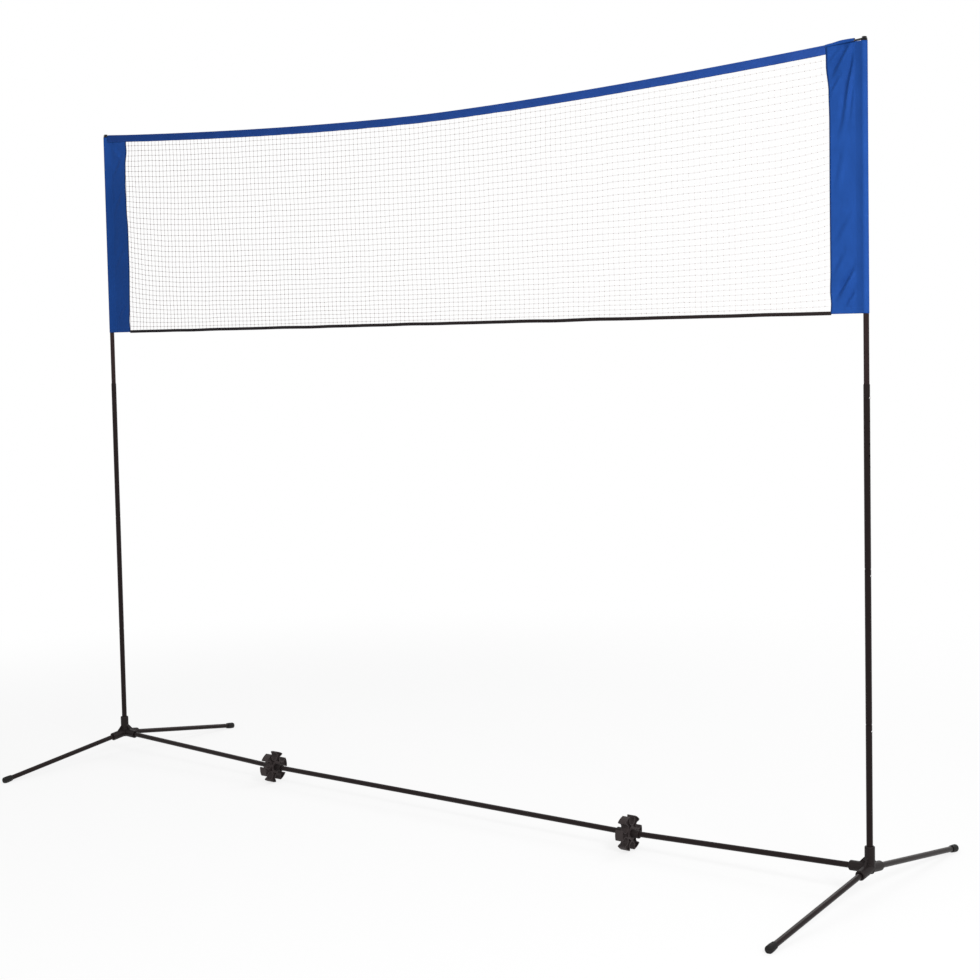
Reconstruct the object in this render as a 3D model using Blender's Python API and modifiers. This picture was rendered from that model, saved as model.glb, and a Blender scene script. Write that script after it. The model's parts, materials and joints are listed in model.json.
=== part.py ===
"""Free-standing multisport net: two telescoping posts on a four-tube base bar, with a badminton-type net.

Axes: X along the net, Y across it, Z up. The origin is on the floor under the middle of the net.
All lengths are in metres.
"""
import math

import bmesh
import bpy
from mathutils import Matrix, Vector

# Overall layout
POST_SPAN = 3.000           # between the two post axes
HUB_HEIGHT = 0.080          # where post, bar and feet axes meet in a hub
BAR_DROP = 0.026            # the bar hangs this much lower at its couplers
CLIP_OFFSET = 0.730         # from mid span to each coupler
FOOT_LENGTH = 0.534         # from the hub's centre to a foot cap's tip

# Clearances
TOUCH_GAP = 0.0003          # between pieces that touch
SLIDE_GAP = 0.0003          # around a tube that slides in another

# Tubes
TUBE_WALL = 0.0008
POST_RADIUS = 0.0086
BAR_RADIUS = 0.0080
INNER_RADIUS = POST_RADIUS - TUBE_WALL - SLIDE_GAP
BAR_SPIGOT_RADIUS = BAR_RADIUS - TUBE_WALL - SLIDE_GAP
SPIGOT_LENGTH = 0.045
SWAGE_TAPER = 0.004
ROUND_SIDES = 20
SMALL_SIDES = 12            # buttons
HOLE_SIDES = 8
ARC_STEPS = 8               # along a half or whole turn in a drawn outline

# Post joints, by the height of the rim that the next tube stands on
LOWER_RIM = 0.459
MIDDLE_RIM = 0.868
OUTER_RIM = 1.350
INNER_OVERLAP = 0.135       # of the inner tube below the outer tube's rim
INNER_BOTTOM = OUTER_RIM - INNER_OVERLAP
INNER_TOP = 2.2280
HOLE_PITCH = 0.030
HOLE_COUNT = 7

# Snap buttons and their hairpin springs
RIM_TO_JOINT_BUTTON = 0.016
RIM_TO_HEIGHT_BUTTON = 0.035
BUTTON_RADIUS = 0.0026
BUTTON_DOME = 0.0010
BUTTON_CROWN_RADIUS = 0.0014
BUTTON_CROWN_DROP = 0.00025 # from the dome's top to the crown's edge
BUTTON_STANDOUT = 0.0024
FLANGE_RADIUS = 0.0034
FLANGE_THICKNESS = 0.0008
FLANGE_SEAT = 0.0053        # from the tube axis to the flange's outer face
HOLE_RADIUS = 0.0032
SPRING_THICKNESS = 0.0005
SPRING_WIDTH = 0.0050
SPRING_LEG = 0.026
SPRING_TOP = 0.010
SPRING_BACK = 0.0056        # from the tube axis to the leg on the far wall

# Hub
SOCKET_RADIUS = 0.0137
SOCKET_REACH = 0.058
SOCKET_START = 0.015        # from the hub's centre to the floor of each socket
SOCKET_CHAMFER = 0.0015
HUB_CHIN = 0.0150           # below the hub's centre
HUB_CHIN_RADIUS = 0.0096    # of the chin's lower face
GUSSET_REACH = 0.036
GUSSET_THICKNESS = 0.0034

# Foot caps
CAP_RADIUS = 0.0110
CAP_LENGTH = 0.034
CAP_DEPTH = 0.026
CAP_FLAT = 0.0012           # how deep the flat under a cap is cut
CAP_CENTRE = 0.014          # from a cap's tip to the middle of its flat
CAP_RIM = 0.0100            # radius at a cap's open end
CAP_RIM_ROUND = 0.0008      # how far the open end's edge is drawn in
CAP_TIP_ROUND = ((0.0066, 0.0), (0.0095, 0.0012), (CAP_RADIUS, 0.0044))   # radius, and distance from the tip
CAP_GRIP = 0.0163           # how far from the open end a cap reaches its full radius
CAP_LIP = 0.0027            # how far from the open end the rim's cone begins

# Bar couplers
JOURNAL_RADIUS = 0.0101
COLLAR_RADIUS = 0.0116
COLLAR_LENGTH = 0.026
COUPLER_MIDDLE = 0.003      # solid web between its two sockets

# Clip discs
DISC_RADIUS = 0.051
DISC_WIDTH = 0.025
DISC_HUB_RADIUS = 0.0165
DISC_WALL = 0.0030
DISC_WEB = 0.0130           # left between the hollows of its two faces
LOBES = 6
POCKET_RING = 0.0370        # from the disc's axis to a pocket's centre
POCKET_RADIUS = 0.0115
MOUTH_HALF = 0.0100         # half the way in between two lobe heads
HEAD_EDGE = 0.0022          # how far a lobe head's ends are cut back from its rim
HEAD_CORNER = 0.045         # angle in radians that the same cut takes off its rim
HEAD_STEPS = 5              # along a lobe head's rim
POCKET_STEPS = 9
HOLLOW_HEAD_STEPS = 3
HOLLOW_SIDE_STEPS = 5
HOLLOW_END = math.radians(167)          # round a pocket, from its mouth to the foot of a hollow
LOBE_TURN = {"left": math.radians(20), "right": math.radians(32)}

# Post caps and head cord
CAP_FLANGE_RADIUS = 0.0084
CAP_FLANGE = 0.0020
CAP_PLUG = 0.018
CAP_NECK_RADIUS = 0.0040
CAP_NECK = 0.0058
CAP_HEAD_RADIUS = 0.0066
CAP_HEAD = 0.0030
CAP_HEAD_TOP = 0.0046       # radius of the head's top face
CAP_HEAD_BEVEL = 0.0012
CORD_RADIUS = 0.0018
CORD_SIDES = 2              # bevel resolution of the cord's curve
CORD_STATIONS = 16
CORD_PAIR = CORD_RADIUS + TOUCH_GAP     # each strand's distance from the middle of a ferrule
LOOP_POINTS = 8
LOOP_ANGLE = math.radians(115)          # each way round a post cap's neck, from its outer side
CORD_END = 0.0005           # from the cord's cut end to the ferrule's end
FERRULE_OFFSET = 0.030      # from the post axis to a ferrule's middle
FERRULE_LENGTH = 0.010
FERRULE_WALL = 0.0006
NET_SAG = 0.061             # of the head cord at mid span
SAG_POWER = 1.65            # of the distance from mid span, in the cord's curve

# Net, tapes and sleeves
SLEEVE_REACH = 0.102        # from the post axis to a sleeve's inner edge
SLEEVE_BOTTOM = 1.533
SLEEVE_CLOTH = 0.0009
POCKET_SLACK = 0.0012       # a sleeve's pocket is this much wider than its tube, in radius
TAIL_HALF = 0.0011          # half the thickness of a sleeve's flat part
TAIL_START = 0.026          # where the pocket's two sides meet in the flat part
FOLD_DEPTH = 0.0042
FOLD_COUNT = 3
FOLD_SLANT = 0.7
FOLD_MIDDLE = 0.4           # the folds' share of their depth at mid height
POCKET_OPEN = math.radians(60)          # each way from the net's plane to the pocket's edges
SLEEVE_POCKET_STEPS = 12
SLEEVE_LEVELS = 13
TAIL_STEPS = 9
TAPE_HEIGHT = 0.0245
TAPE_CLOTH = 0.0009
TAPE_SLOT = 0.0010          # half the space between a tape's two leaves
TAPE_STATIONS = 16
HEM_HEIGHT = 0.0100
HEM_BOTTOM = 1.530
NET_COLUMNS = 28
NET_ROWS = 7
STRAND = 0.0012
NET_TUCK = 0.006            # how far the net's edge reaches into a tape

# Worked out from the values above
HALF_SPAN = POST_SPAN / 2
FOOT_DROP = math.asin((HUB_HEIGHT - CAP_RADIUS + CAP_FLAT) / (FOOT_LENGTH - CAP_CENTRE))
CORD_HEIGHT = INNER_TOP + TOUCH_GAP + CAP_FLANGE + CAP_NECK / 2
SIDES = (("left", -1), ("right", 1))

for old in list(bpy.data.objects):
    bpy.data.objects.remove(old)

parts = bpy.data.collections.new("multisport_net")
cutters = bpy.data.collections.new("cutters")
for group in (parts, cutters):
    bpy.context.scene.collection.children.link(group)


def make_material(name, colour, roughness, metallic=0.0):
    material = bpy.data.materials.new(name)
    material.use_nodes = True
    shader = material.node_tree.nodes["Principled BSDF"]
    shader.inputs["Base Color"].default_value = (*colour, 1.0)
    shader.inputs["Roughness"].default_value = roughness
    shader.inputs["Metallic"].default_value = metallic
    return material


def add_part(name, mesh, material):
    obj = bpy.data.objects.new(name, mesh)
    obj.data.materials.append(material)
    parts.objects.link(obj)
    return obj


def add_helper(name, mesh):
    """A shape that cuts a part or is joined to one, never a part itself."""
    obj = bpy.data.objects.new(name, mesh)
    cutters.objects.link(obj)
    obj.hide_render = True
    obj.display_type = "WIRE"
    return obj


def combine(obj, operation, *helpers):
    for helper in helpers:
        step = obj.modifiers.new(operation.lower(), "BOOLEAN")
        step.operation = operation
        step.object = helper
    return obj


def profile_mesh(name, profile):
    """The outline of a turned shape as (radius, height) points, which runs down its outer side first."""
    bm = bmesh.new()
    line = [bm.verts.new((radius, 0, height)) for radius, height in profile]
    for a, b in zip(line, line[1:]):
        bm.edges.new((a, b))
    if profile[0][0] > 0:
        bm.edges.new((line[-1], line[0]))
    mesh = bpy.data.meshes.new(name)
    bm.to_mesh(mesh)
    bm.free()
    return mesh


def spin(obj, sides=ROUND_SIDES):
    screw = obj.modifiers.new("turn", "SCREW")
    screw.axis = "Z"
    screw.angle = math.tau
    screw.steps = sides
    screw.render_steps = sides
    screw.use_merge_vertices = True
    screw.merge_threshold = 0.00001
    screw.use_smooth_shade = True
    return obj


def turned_part(name, profile, material, sides=ROUND_SIDES):
    return spin(add_part(name, profile_mesh(name, profile), material), sides)


def turned_helper(name, profile, sides=ROUND_SIDES):
    return spin(add_helper(name, profile_mesh(name, profile)), sides)


def cylinder_helper(name, radius, low, high, sides=ROUND_SIDES):
    return turned_helper(name, [(0, high), (radius, high), (radius, low), (0, low)], sides)


def outline_mesh(name, loops, length):
    """A prism from 2D loops in local XY, the outer one first, as a closed mesh centred on local Z = 0."""
    curve = bpy.data.curves.new(name, "CURVE")
    curve.dimensions = "2D"
    curve.fill_mode = "BOTH"
    curve.extrude = length / 2
    for loop in loops:
        spline = curve.splines.new("POLY")
        spline.points.add(len(loop) - 1)
        for point, (x, y) in zip(spline.points, loop):
            point.co = (x, y, 0, 1)
        spline.use_cyclic_u = True
    guide = bpy.data.objects.new(name, curve)
    cutters.objects.link(guide)
    bpy.context.view_layer.update()
    shape = guide.evaluated_get(bpy.context.evaluated_depsgraph_get())
    mesh = bpy.data.meshes.new_from_object(shape)
    bpy.data.objects.remove(guide)
    bpy.data.curves.remove(curve)
    bm = bmesh.new()
    bm.from_mesh(mesh)
    bmesh.ops.remove_doubles(bm, verts=bm.verts[:], dist=0.00001)
    bmesh.ops.recalc_face_normals(bm, faces=bm.faces[:])
    bm.to_mesh(mesh)
    bm.free()
    return mesh


def slice_mesh(mesh, axis, places):
    """Cut a mesh into slabs without parting it, so that it can be bent at the given places."""
    bm = bmesh.new()
    bm.from_mesh(mesh)
    for place in places:
        bmesh.ops.bisect_plane(bm, geom=bm.verts[:] + bm.edges[:] + bm.faces[:], dist=0.000001,
                               plane_co=Vector(axis) * place, plane_no=axis)
    bm.to_mesh(mesh)
    bm.free()


def steps(low, high, count):
    return [low + (high - low) * i / count for i in range(count + 1)]


def arc(centre_x, centre_y, radius, start, end, count):
    return [(centre_x + radius * math.cos(a), centre_y + radius * math.sin(a))
            for a in steps(start, end, count)]


def stand_along(obj, start, direction):
    """Put local Z along a direction that isn't vertical, with local Y in the upright plane through it."""
    obj.rotation_mode = "QUATERNION"
    obj.rotation_quaternion = Vector(direction).to_track_quat("Z", "Y")
    obj.location = start
    return obj


steel = make_material("black_powder_coat", (0.020, 0.018, 0.019), 0.38, 0.1)
inner_steel = make_material("inner_tube_coat", (0.030, 0.022, 0.024), 0.30, 0.1)
plastic = make_material("black_plastic", (0.022, 0.021, 0.021), 0.50)
clip_plastic = make_material("grey_black_plastic", (0.042, 0.038, 0.038), 0.55)
rubber = make_material("foot_cap_rubber", (0.018, 0.018, 0.018), 0.65)
button_steel = make_material("button_steel", (0.55, 0.55, 0.56), 0.25, 1.0)
spring_steel = make_material("spring_steel", (0.40, 0.40, 0.42), 0.35, 1.0)
sleeve_cloth = make_material("blue_sleeve_cloth", (0.019, 0.080, 0.361), 0.70)
tape_cloth = make_material("blue_tape_cloth", (0.014, 0.058, 0.260), 0.75)
hem_cloth = make_material("black_hem_cloth", (0.015, 0.014, 0.014), 0.80)
net_twine = make_material("net_twine", (0.62, 0.55, 0.50), 0.80)
cord_fibre = make_material("head_cord", (0.020, 0.020, 0.024), 0.80)


def hub_centre(side):
    return Vector((side * HALF_SPAN, 0, HUB_HEIGHT))


def coupler_centre(side):
    return Vector((side * CLIP_OFFSET, 0, HUB_HEIGHT - BAR_DROP))


def bar_direction(side):
    """Down the outer bar tube, from the hub to the coupler."""
    return (coupler_centre(side) - hub_centre(side)).normalized()


def foot_direction(way):
    """Down a foot tube. way is -1 for the front foot and 1 for the back foot."""
    return Vector((0, way * math.cos(FOOT_DROP), -math.sin(FOOT_DROP)))


def cord_line(x):
    """Height of the head cord's centre line, which sags between the post caps."""
    return CORD_HEIGHT - NET_SAG * (1 - abs(x / HALF_SPAN) ** SAG_POWER)


def make_hub(name, side):
    """Moulded four-way hub: a post socket, a bar socket and two foot sockets, with gussets between."""
    centre = hub_centre(side)
    inward = bar_direction(side)
    arms = [inward, foot_direction(-1), foot_direction(1)]
    mouth = SOCKET_RADIUS - SOCKET_CHAMFER
    shoulder = SOCKET_REACH - SOCKET_CHAMFER
    upright = [(0, SOCKET_REACH), (mouth, SOCKET_REACH), (SOCKET_RADIUS, shoulder),
               (SOCKET_RADIUS, -HUB_CHIN / 2), (HUB_CHIN_RADIUS, -HUB_CHIN), (0, -HUB_CHIN)]
    arm = [(0, SOCKET_REACH), (mouth, SOCKET_REACH), (SOCKET_RADIUS, shoulder), (SOCKET_RADIUS, 0), (0, 0)]
    hub = turned_part(name, upright, plastic)
    hub.location = centre
    for number, direction in enumerate(arms):
        stub = turned_helper(f"{name}_arm_{number}", arm)
        stand_along(stub, centre, direction)
        web = add_helper(f"{name}_gusset_{number}", gusset_mesh(f"{name}_gusset_{number}"))
        web.location = centre
        web.rotation_euler = (math.pi / 2, 0, math.atan2(direction.y, direction.x))
        combine(hub, "UNION", stub, web)
    post_bore = cylinder_helper(f"{name}_post_bore", POST_RADIUS + TOUCH_GAP, SOCKET_START, SOCKET_REACH * 2)
    post_bore.location = centre
    combine(hub, "DIFFERENCE", post_bore)
    for number, direction in enumerate(arms):
        bore = cylinder_helper(f"{name}_bore_{number}", BAR_RADIUS + TOUCH_GAP, SOCKET_START, SOCKET_REACH * 2)
        stand_along(bore, centre, direction)
        combine(hub, "DIFFERENCE", bore)


def gusset_mesh(name):
    """A triangular web, drawn with local X out along an arm and local Y up the post socket."""
    inside = SOCKET_RADIUS / 2
    corners = [(inside, inside - SOCKET_RADIUS), (GUSSET_REACH, 0), (GUSSET_REACH, inside),
               (inside, GUSSET_REACH)]
    return outline_mesh(name, [corners], GUSSET_THICKNESS)


def tube_profile(length, radius, spigot_radius=None):
    """Wall of a tube from its foot at height 0. A spigot, swaged thinner, reaches below the foot."""
    bore = radius - TUBE_WALL
    if spigot_radius is None:
        return [(radius, length), (radius, 0), (bore, 0), (bore, length)]
    spigot_bore = spigot_radius - TUBE_WALL
    return [(radius, length), (radius, SWAGE_TAPER), (spigot_radius, 0), (spigot_radius, -SPIGOT_LENGTH),
            (spigot_bore, -SPIGOT_LENGTH), (spigot_bore, 0), (bore, SWAGE_TAPER), (bore, length)]


def make_foot(name, side, way):
    """A foot tube pushed into the hub, and the cap over its far end, cut flat where it stands."""
    centre = hub_centre(side)
    direction = foot_direction(way)
    start = SOCKET_START + TOUCH_GAP
    end = FOOT_LENGTH - CAP_LENGTH + CAP_DEPTH - TOUCH_GAP
    tube = turned_part(f"{name}_foot_tube", tube_profile(end - start, BAR_RADIUS), steel)
    stand_along(tube, centre + direction * start, direction)
    bore = BAR_RADIUS + TOUCH_GAP
    outline = [(0, CAP_LENGTH), *((radius, CAP_LENGTH - back) for radius, back in CAP_TIP_ROUND),
               (CAP_RADIUS, CAP_GRIP), (CAP_RIM, CAP_LIP), (CAP_RIM - CAP_RIM_ROUND, 0), (bore, 0),
               (bore, CAP_DEPTH), (0, CAP_DEPTH)]
    cap = turned_part(f"{name}_foot_cap", outline, rubber)
    stand_along(cap, centre + direction * (FOOT_LENGTH - CAP_LENGTH), direction)
    combine(cap, "DIFFERENCE", floor_block)


def make_bar(name, side):
    """The outer bar tube from hub to coupler, and the inner one from coupler to mid span."""
    hub = hub_centre(side)
    coupler = coupler_centre(side)
    direction = bar_direction(side)
    half_middle = COUPLER_MIDDLE / 2
    start = SOCKET_START + TOUCH_GAP
    end = (coupler - hub).length - half_middle - TOUCH_GAP
    outer = turned_part(f"{name}_outer_bar_tube", tube_profile(end - start, BAR_RADIUS), steel)
    stand_along(outer, hub + direction * start, direction)
    reach = CLIP_OFFSET - half_middle - TOUCH_GAP
    if side < 0:
        # The left inner tube ends in the spigot that holds the right one at mid span.
        inner = turned_part(f"{name}_inner_bar_tube", tube_profile(reach, BAR_RADIUS, BAR_SPIGOT_RADIUS), steel)
        stand_along(inner, (0, 0, coupler.z), (-1, 0, 0))
    else:
        inner = turned_part(f"{name}_inner_bar_tube", tube_profile(reach - TOUCH_GAP, BAR_RADIUS), steel)
        stand_along(inner, (TOUCH_GAP, 0, coupler.z), (1, 0, 0))


def journal_length():
    return DISC_WIDTH + 2 * TOUCH_GAP


def make_coupler(name, side):
    """Turned sleeve that joins two bar tubes end to end. Its middle is the journal of the clip disc."""
    half = journal_length() / 2
    end = half + COLLAR_LENGTH
    chamfer = SOCKET_CHAMFER
    outline = [(0, end), (COLLAR_RADIUS - chamfer, end), (COLLAR_RADIUS, end - chamfer), (COLLAR_RADIUS, half),
               (JOURNAL_RADIUS, half), (JOURNAL_RADIUS, -half), (COLLAR_RADIUS, -half),
               (COLLAR_RADIUS, chamfer - end), (COLLAR_RADIUS - chamfer, -end), (0, -end)]
    coupler = turned_part(f"{name}_bar_coupler", outline, plastic)
    stand_along(coupler, coupler_centre(side), (1, 0, 0))
    low = COUPLER_MIDDLE / 2
    for way, direction in (("hub", -bar_direction(side)), ("middle", Vector((-side, 0, 0)))):
        bore = cylinder_helper(f"{name}_coupler_bore_{way}", BAR_RADIUS + TOUCH_GAP, low, end * 2)
        stand_along(bore, coupler_centre(side), direction)
        combine(coupler, "DIFFERENCE", bore)


def disc_outline():
    """Rim of a clip disc: flared lobe heads, and between them mouths that open into round pockets."""
    pitch = math.tau / LOBES
    head_half = pitch / 2 - math.asin(MOUTH_HALF / DISC_RADIUS)
    lip = math.asin(MOUTH_HALF / POCKET_RADIUS)
    points = []
    for number in range(LOBES):
        middle = number * pitch
        points += arc(0, 0, DISC_RADIUS, middle - head_half + HEAD_CORNER, middle + head_half - HEAD_CORNER,
                      HEAD_STEPS)
        notch = middle + pitch / 2
        inside = DISC_RADIUS * math.cos(HEAD_CORNER) - HEAD_EDGE
        turn = Matrix.Rotation(notch, 2)
        pocket = arc(POCKET_RING, 0, POCKET_RADIUS, -lip, lip - math.tau, POCKET_STEPS)
        mouth = [(inside, -MOUTH_HALF), *pocket, (inside, MOUTH_HALF)]
        points += [tuple(turn @ Vector(p)) for p in mouth]
    return points


def recess_outline():
    """The hollow in one lobe's face, a wall's width inside its rim, for a lobe on local +X."""
    half_pitch = math.pi / LOBES
    wide = POCKET_RADIUS + DISC_WALL
    head = DISC_RADIUS - DISC_WALL
    top = half_pitch - math.asin((MOUTH_HALF + DISC_WALL) / head)
    centre = Vector((POCKET_RING * math.cos(half_pitch), POCKET_RING * math.sin(half_pitch)))
    low = DISC_HUB_RADIUS + DISC_WALL
    outer_edge = arc(0, 0, head, -top, top, HOLLOW_HEAD_STEPS)
    side_edge = []
    first = math.asin((MOUTH_HALF + DISC_WALL) / wide)
    for angle in steps(first, HOLLOW_END, HOLLOW_SIDE_STEPS):
        side_edge.append((centre.x + wide * math.cos(half_pitch + math.pi * 2 - angle),
                          centre.y + wide * math.sin(half_pitch + math.pi * 2 - angle)))
    side_edge = [p for p in side_edge if math.hypot(*p) > low]
    mirrored = [(x, -y) for x, y in reversed(side_edge)]
    foot = [(low, side_edge[-1][1]), (low, -side_edge[-1][1])]
    return outer_edge + side_edge + foot + mirrored


def make_disc(name, side):
    """Clip disc: T-headed lobes, hollowed on both faces, round a hub that turns on the coupler."""
    disc = add_part(f"{name}_clip_disc", outline_mesh(f"{name}_clip_disc", [disc_outline()], DISC_WIDTH),
                    clip_plastic)
    stand_along(disc, coupler_centre(side), (1, 0, 0))
    turn = Matrix.Rotation(math.pi / 2 - LOBE_TURN[name], 4, "Z")
    disc.data.transform(turn)
    recess = bpy.data.meshes.new(f"{name}_disc_recesses")
    bm = bmesh.new()
    one = outline_mesh(f"{name}_disc_recess", [recess_outline()], DISC_WIDTH)
    for lobe in range(LOBES):
        for face in (-1, 1):
            copy = one.copy()
            lift = Matrix.Translation((0, 0, face * (DISC_WIDTH + DISC_WEB) / 2))
            copy.transform(turn @ Matrix.Rotation(lobe * math.tau / LOBES, 4, "Z") @ lift)
            bm.from_mesh(copy)
            bpy.data.meshes.remove(copy)
    bm.to_mesh(recess)
    bm.free()
    recesses = stand_along(add_helper(f"{name}_disc_recesses", recess), coupler_centre(side), (1, 0, 0))
    bore = cylinder_helper(f"{name}_disc_bore", JOURNAL_RADIUS + TOUCH_GAP, -DISC_WIDTH, DISC_WIDTH)
    stand_along(bore, coupler_centre(side), (1, 0, 0))
    combine(disc, "DIFFERENCE", recesses, bore)


def button_holes(name, side, heights):
    """One cutter with a round hole through the outward wall of a post tube at each height."""
    bm = bmesh.new()
    reach = POST_RADIUS * 2
    for height in heights:
        place = Matrix.Translation((side * (HALF_SPAN + reach / 2), 0, height))
        turn = Matrix.Rotation(math.pi / 2, 4, "Y")
        bmesh.ops.create_cone(bm, cap_ends=True, segments=HOLE_SIDES, radius1=HOLE_RADIUS,
                              radius2=HOLE_RADIUS, depth=reach, matrix=place @ turn)
    mesh = bpy.data.meshes.new(name)
    bm.to_mesh(mesh)
    bm.free()
    return add_helper(name, mesh)


def make_button(name, side, height):
    """Snap button: a domed pin with a flange that stops it inside the tube."""
    top = POST_RADIUS + BUTTON_STANDOUT
    back = FLANGE_SEAT - FLANGE_THICKNESS
    outline = [(0, top), (BUTTON_CROWN_RADIUS, top - BUTTON_CROWN_DROP), (BUTTON_RADIUS, top - BUTTON_DOME),
               (BUTTON_RADIUS, FLANGE_SEAT), (FLANGE_RADIUS, FLANGE_SEAT), (FLANGE_RADIUS, back), (0, back)]
    button = turned_part(f"{name}_button", outline, button_steel, SMALL_SIDES)
    stand_along(button, (side * HALF_SPAN, 0, height), (side, 0, 0))


def make_spring(name, side, height):
    """Hairpin leaf spring: one leg on the far wall of the tube, the other behind the button."""
    front = FLANGE_SEAT - FLANGE_THICKNESS - TOUCH_GAP - SPRING_THICKNESS / 2
    middle = (front - SPRING_BACK) / 2
    bend = (front + SPRING_BACK) / 2
    half = SPRING_THICKNESS / 2
    inner = arc(middle, -SPRING_LEG, bend - half, 0, -math.pi, ARC_STEPS)
    outer = arc(middle, -SPRING_LEG, bend + half, -math.pi, 0, ARC_STEPS)
    strip = [(front - half, FLANGE_RADIUS), *inner, (-SPRING_BACK + half, SPRING_TOP),
             (-SPRING_BACK - half, SPRING_TOP), *outer, (front + half, FLANGE_RADIUS)]
    spring = add_part(f"{name}_spring", outline_mesh(f"{name}_spring", [strip], SPRING_WIDTH), spring_steel)
    spring.location = (side * HALF_SPAN, 0, height)
    spring.rotation_euler = (math.pi / 2, 0, 0 if side > 0 else math.pi)


def make_post(name, side):
    """Three fixed post tubes that stand in each other, and the thinner one that slides in the top."""
    x = side * HALF_SPAN
    foot = HUB_HEIGHT + SOCKET_START + TOUCH_GAP
    sections = [("lower", foot, LOWER_RIM, None),
                ("middle", LOWER_RIM + TOUCH_GAP, MIDDLE_RIM, INNER_RADIUS),
                ("outer", MIDDLE_RIM + TOUCH_GAP, OUTER_RIM, INNER_RADIUS)]
    joint_buttons = {"lower": LOWER_RIM - RIM_TO_JOINT_BUTTON, "middle": MIDDLE_RIM - RIM_TO_JOINT_BUTTON}
    top_button = OUTER_RIM - RIM_TO_HEIGHT_BUTTON
    height_holes = [top_button - i * HOLE_PITCH for i in range(HOLE_COUNT)]
    holes = {"lower": [joint_buttons["lower"]],
             "middle": [joint_buttons["lower"], joint_buttons["middle"]],
             "outer": [joint_buttons["middle"], *height_holes]}
    for section, low, high, spigot in sections:
        tube = turned_part(f"{name}_{section}_post_tube", tube_profile(high - low, POST_RADIUS, spigot), steel)
        tube.location = (x, 0, low)
        combine(tube, "DIFFERENCE", button_holes(f"{name}_{section}_holes", side, holes[section]))
    inner = turned_part(f"{name}_inner_post_tube", tube_profile(INNER_TOP - INNER_BOTTOM, INNER_RADIUS),
                        inner_steel)
    inner.location = (x, 0, INNER_BOTTOM)
    combine(inner, "DIFFERENCE", button_holes(f"{name}_inner_hole", side, [top_button]))
    places = {"lower_joint": joint_buttons["lower"], "upper_joint": joint_buttons["middle"],
              "height": top_button}
    for place, height in places.items():
        make_button(f"{name}_{place}", side, height)
        make_spring(f"{name}_{place}", side, height)


def make_post_cap(name, side):
    """Moulded plug in the inner tube's top. The cord's loop lies round its neck, under the head."""
    plug = INNER_RADIUS - TUBE_WALL - TOUCH_GAP
    flange = TOUCH_GAP + CAP_FLANGE
    head = flange + CAP_NECK
    top = head + CAP_HEAD
    outline = [(0, top), (CAP_HEAD_TOP, top), (CAP_HEAD_RADIUS, top - CAP_HEAD_BEVEL),
               (CAP_HEAD_RADIUS, head), (CAP_NECK_RADIUS, head), (CAP_NECK_RADIUS, flange),
               (CAP_FLANGE_RADIUS, flange), (CAP_FLANGE_RADIUS, TOUCH_GAP), (plug, TOUCH_GAP),
               (plug, -CAP_PLUG), (0, -CAP_PLUG)]
    cap = turned_part(f"{name}_post_cap", outline, plastic)
    cap.location = (side * HALF_SPAN, 0, INNER_TOP)


def crimp_place():
    """Middle of the right-hand ferrule on the head cord, and the cord's direction there."""
    x = HALF_SPAN - FERRULE_OFFSET
    slope = (cord_line(x + FERRULE_LENGTH / 2) - cord_line(x - FERRULE_LENGTH / 2)) / FERRULE_LENGTH
    return Vector((x, 0, cord_line(x))), Vector((1, 0, slope)).normalized()


def make_head_cord():
    """Cord through the top tape. Each end turns round a post cap's neck and comes back into a ferrule."""
    loop = CAP_NECK_RADIUS + TOUCH_GAP + CORD_RADIUS
    place, along = crimp_place()
    across = Vector((0, CORD_PAIR, 0))
    into = along * (FERRULE_LENGTH / 2)
    right = [place - into - across, place + into - across]
    for angle in steps(-LOOP_ANGLE, LOOP_ANGLE, LOOP_POINTS):
        right.append(Vector((HALF_SPAN + loop * math.cos(angle), loop * math.sin(angle), CORD_HEIGHT)))
    right += [place + into + across, place - into + along * CORD_END + across]
    left = [Vector((-point.x, -point.y, point.z)) for point in right]
    straight = HALF_SPAN - SLEEVE_REACH
    run = [Vector((x, 0, cord_line(x))) for x in steps(-straight, straight, CORD_STATIONS)]
    curve = bpy.data.curves.new("head_cord", "CURVE")
    curve.dimensions = "3D"
    curve.bevel_depth = CORD_RADIUS
    curve.bevel_resolution = CORD_SIDES
    curve.use_fill_caps = True
    curve.materials.append(cord_fibre)
    spline = curve.splines.new("POLY")
    points = [*reversed(left), *run, *right]
    spline.points.add(len(points) - 1)
    for point, spot in zip(spline.points, points):
        point.co = (*spot, 1)
    parts.objects.link(bpy.data.objects.new("head_cord", curve))


def make_ferrule(name, side):
    """Flattened sleeve that clamps the cord's loop."""
    bore = CORD_RADIUS + TOUCH_GAP
    loops = []
    for radius in (bore + FERRULE_WALL, bore):
        loops.append(arc(CORD_PAIR, 0, radius, -math.pi / 2, math.pi / 2, ARC_STEPS)
                     + arc(-CORD_PAIR, 0, radius, math.pi / 2, 3 * math.pi / 2, ARC_STEPS))
    mesh = outline_mesh(f"{name}_cord_ferrule", loops, FERRULE_LENGTH)
    ferrule = add_part(f"{name}_cord_ferrule", mesh, button_steel)
    place, along = crimp_place()
    stand_along(ferrule, (side * place.x, 0, place.z), (side * along.x, 0, along.z))


def sleeve_top(reach):
    """A sleeve ends just under the post cap's flange, and further in under the head cord's ferrule."""
    under_cord = cord_line(HALF_SPAN - reach) - CORD_RADIUS - FERRULE_WALL - 2 * TOUCH_GAP
    return min(INNER_TOP - TOUCH_GAP, under_cord)


def sleeve_fold(reach, rise, side):
    """How far a sleeve's flat part stands out of the net's plane: slanting folds, strongest at its ends."""
    if reach <= TAIL_START:
        return 0.0
    across = (reach - TAIL_START) / (SLEEVE_REACH - TAIL_START)
    wave = math.sin(math.tau * (rise * FOLD_COUNT - side * across * FOLD_SLANT))
    strength = FOLD_MIDDLE + (1 - FOLD_MIDDLE) * abs(2 * rise - 1)
    return FOLD_DEPTH * strength * math.sin(math.pi * across) * wave


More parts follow.
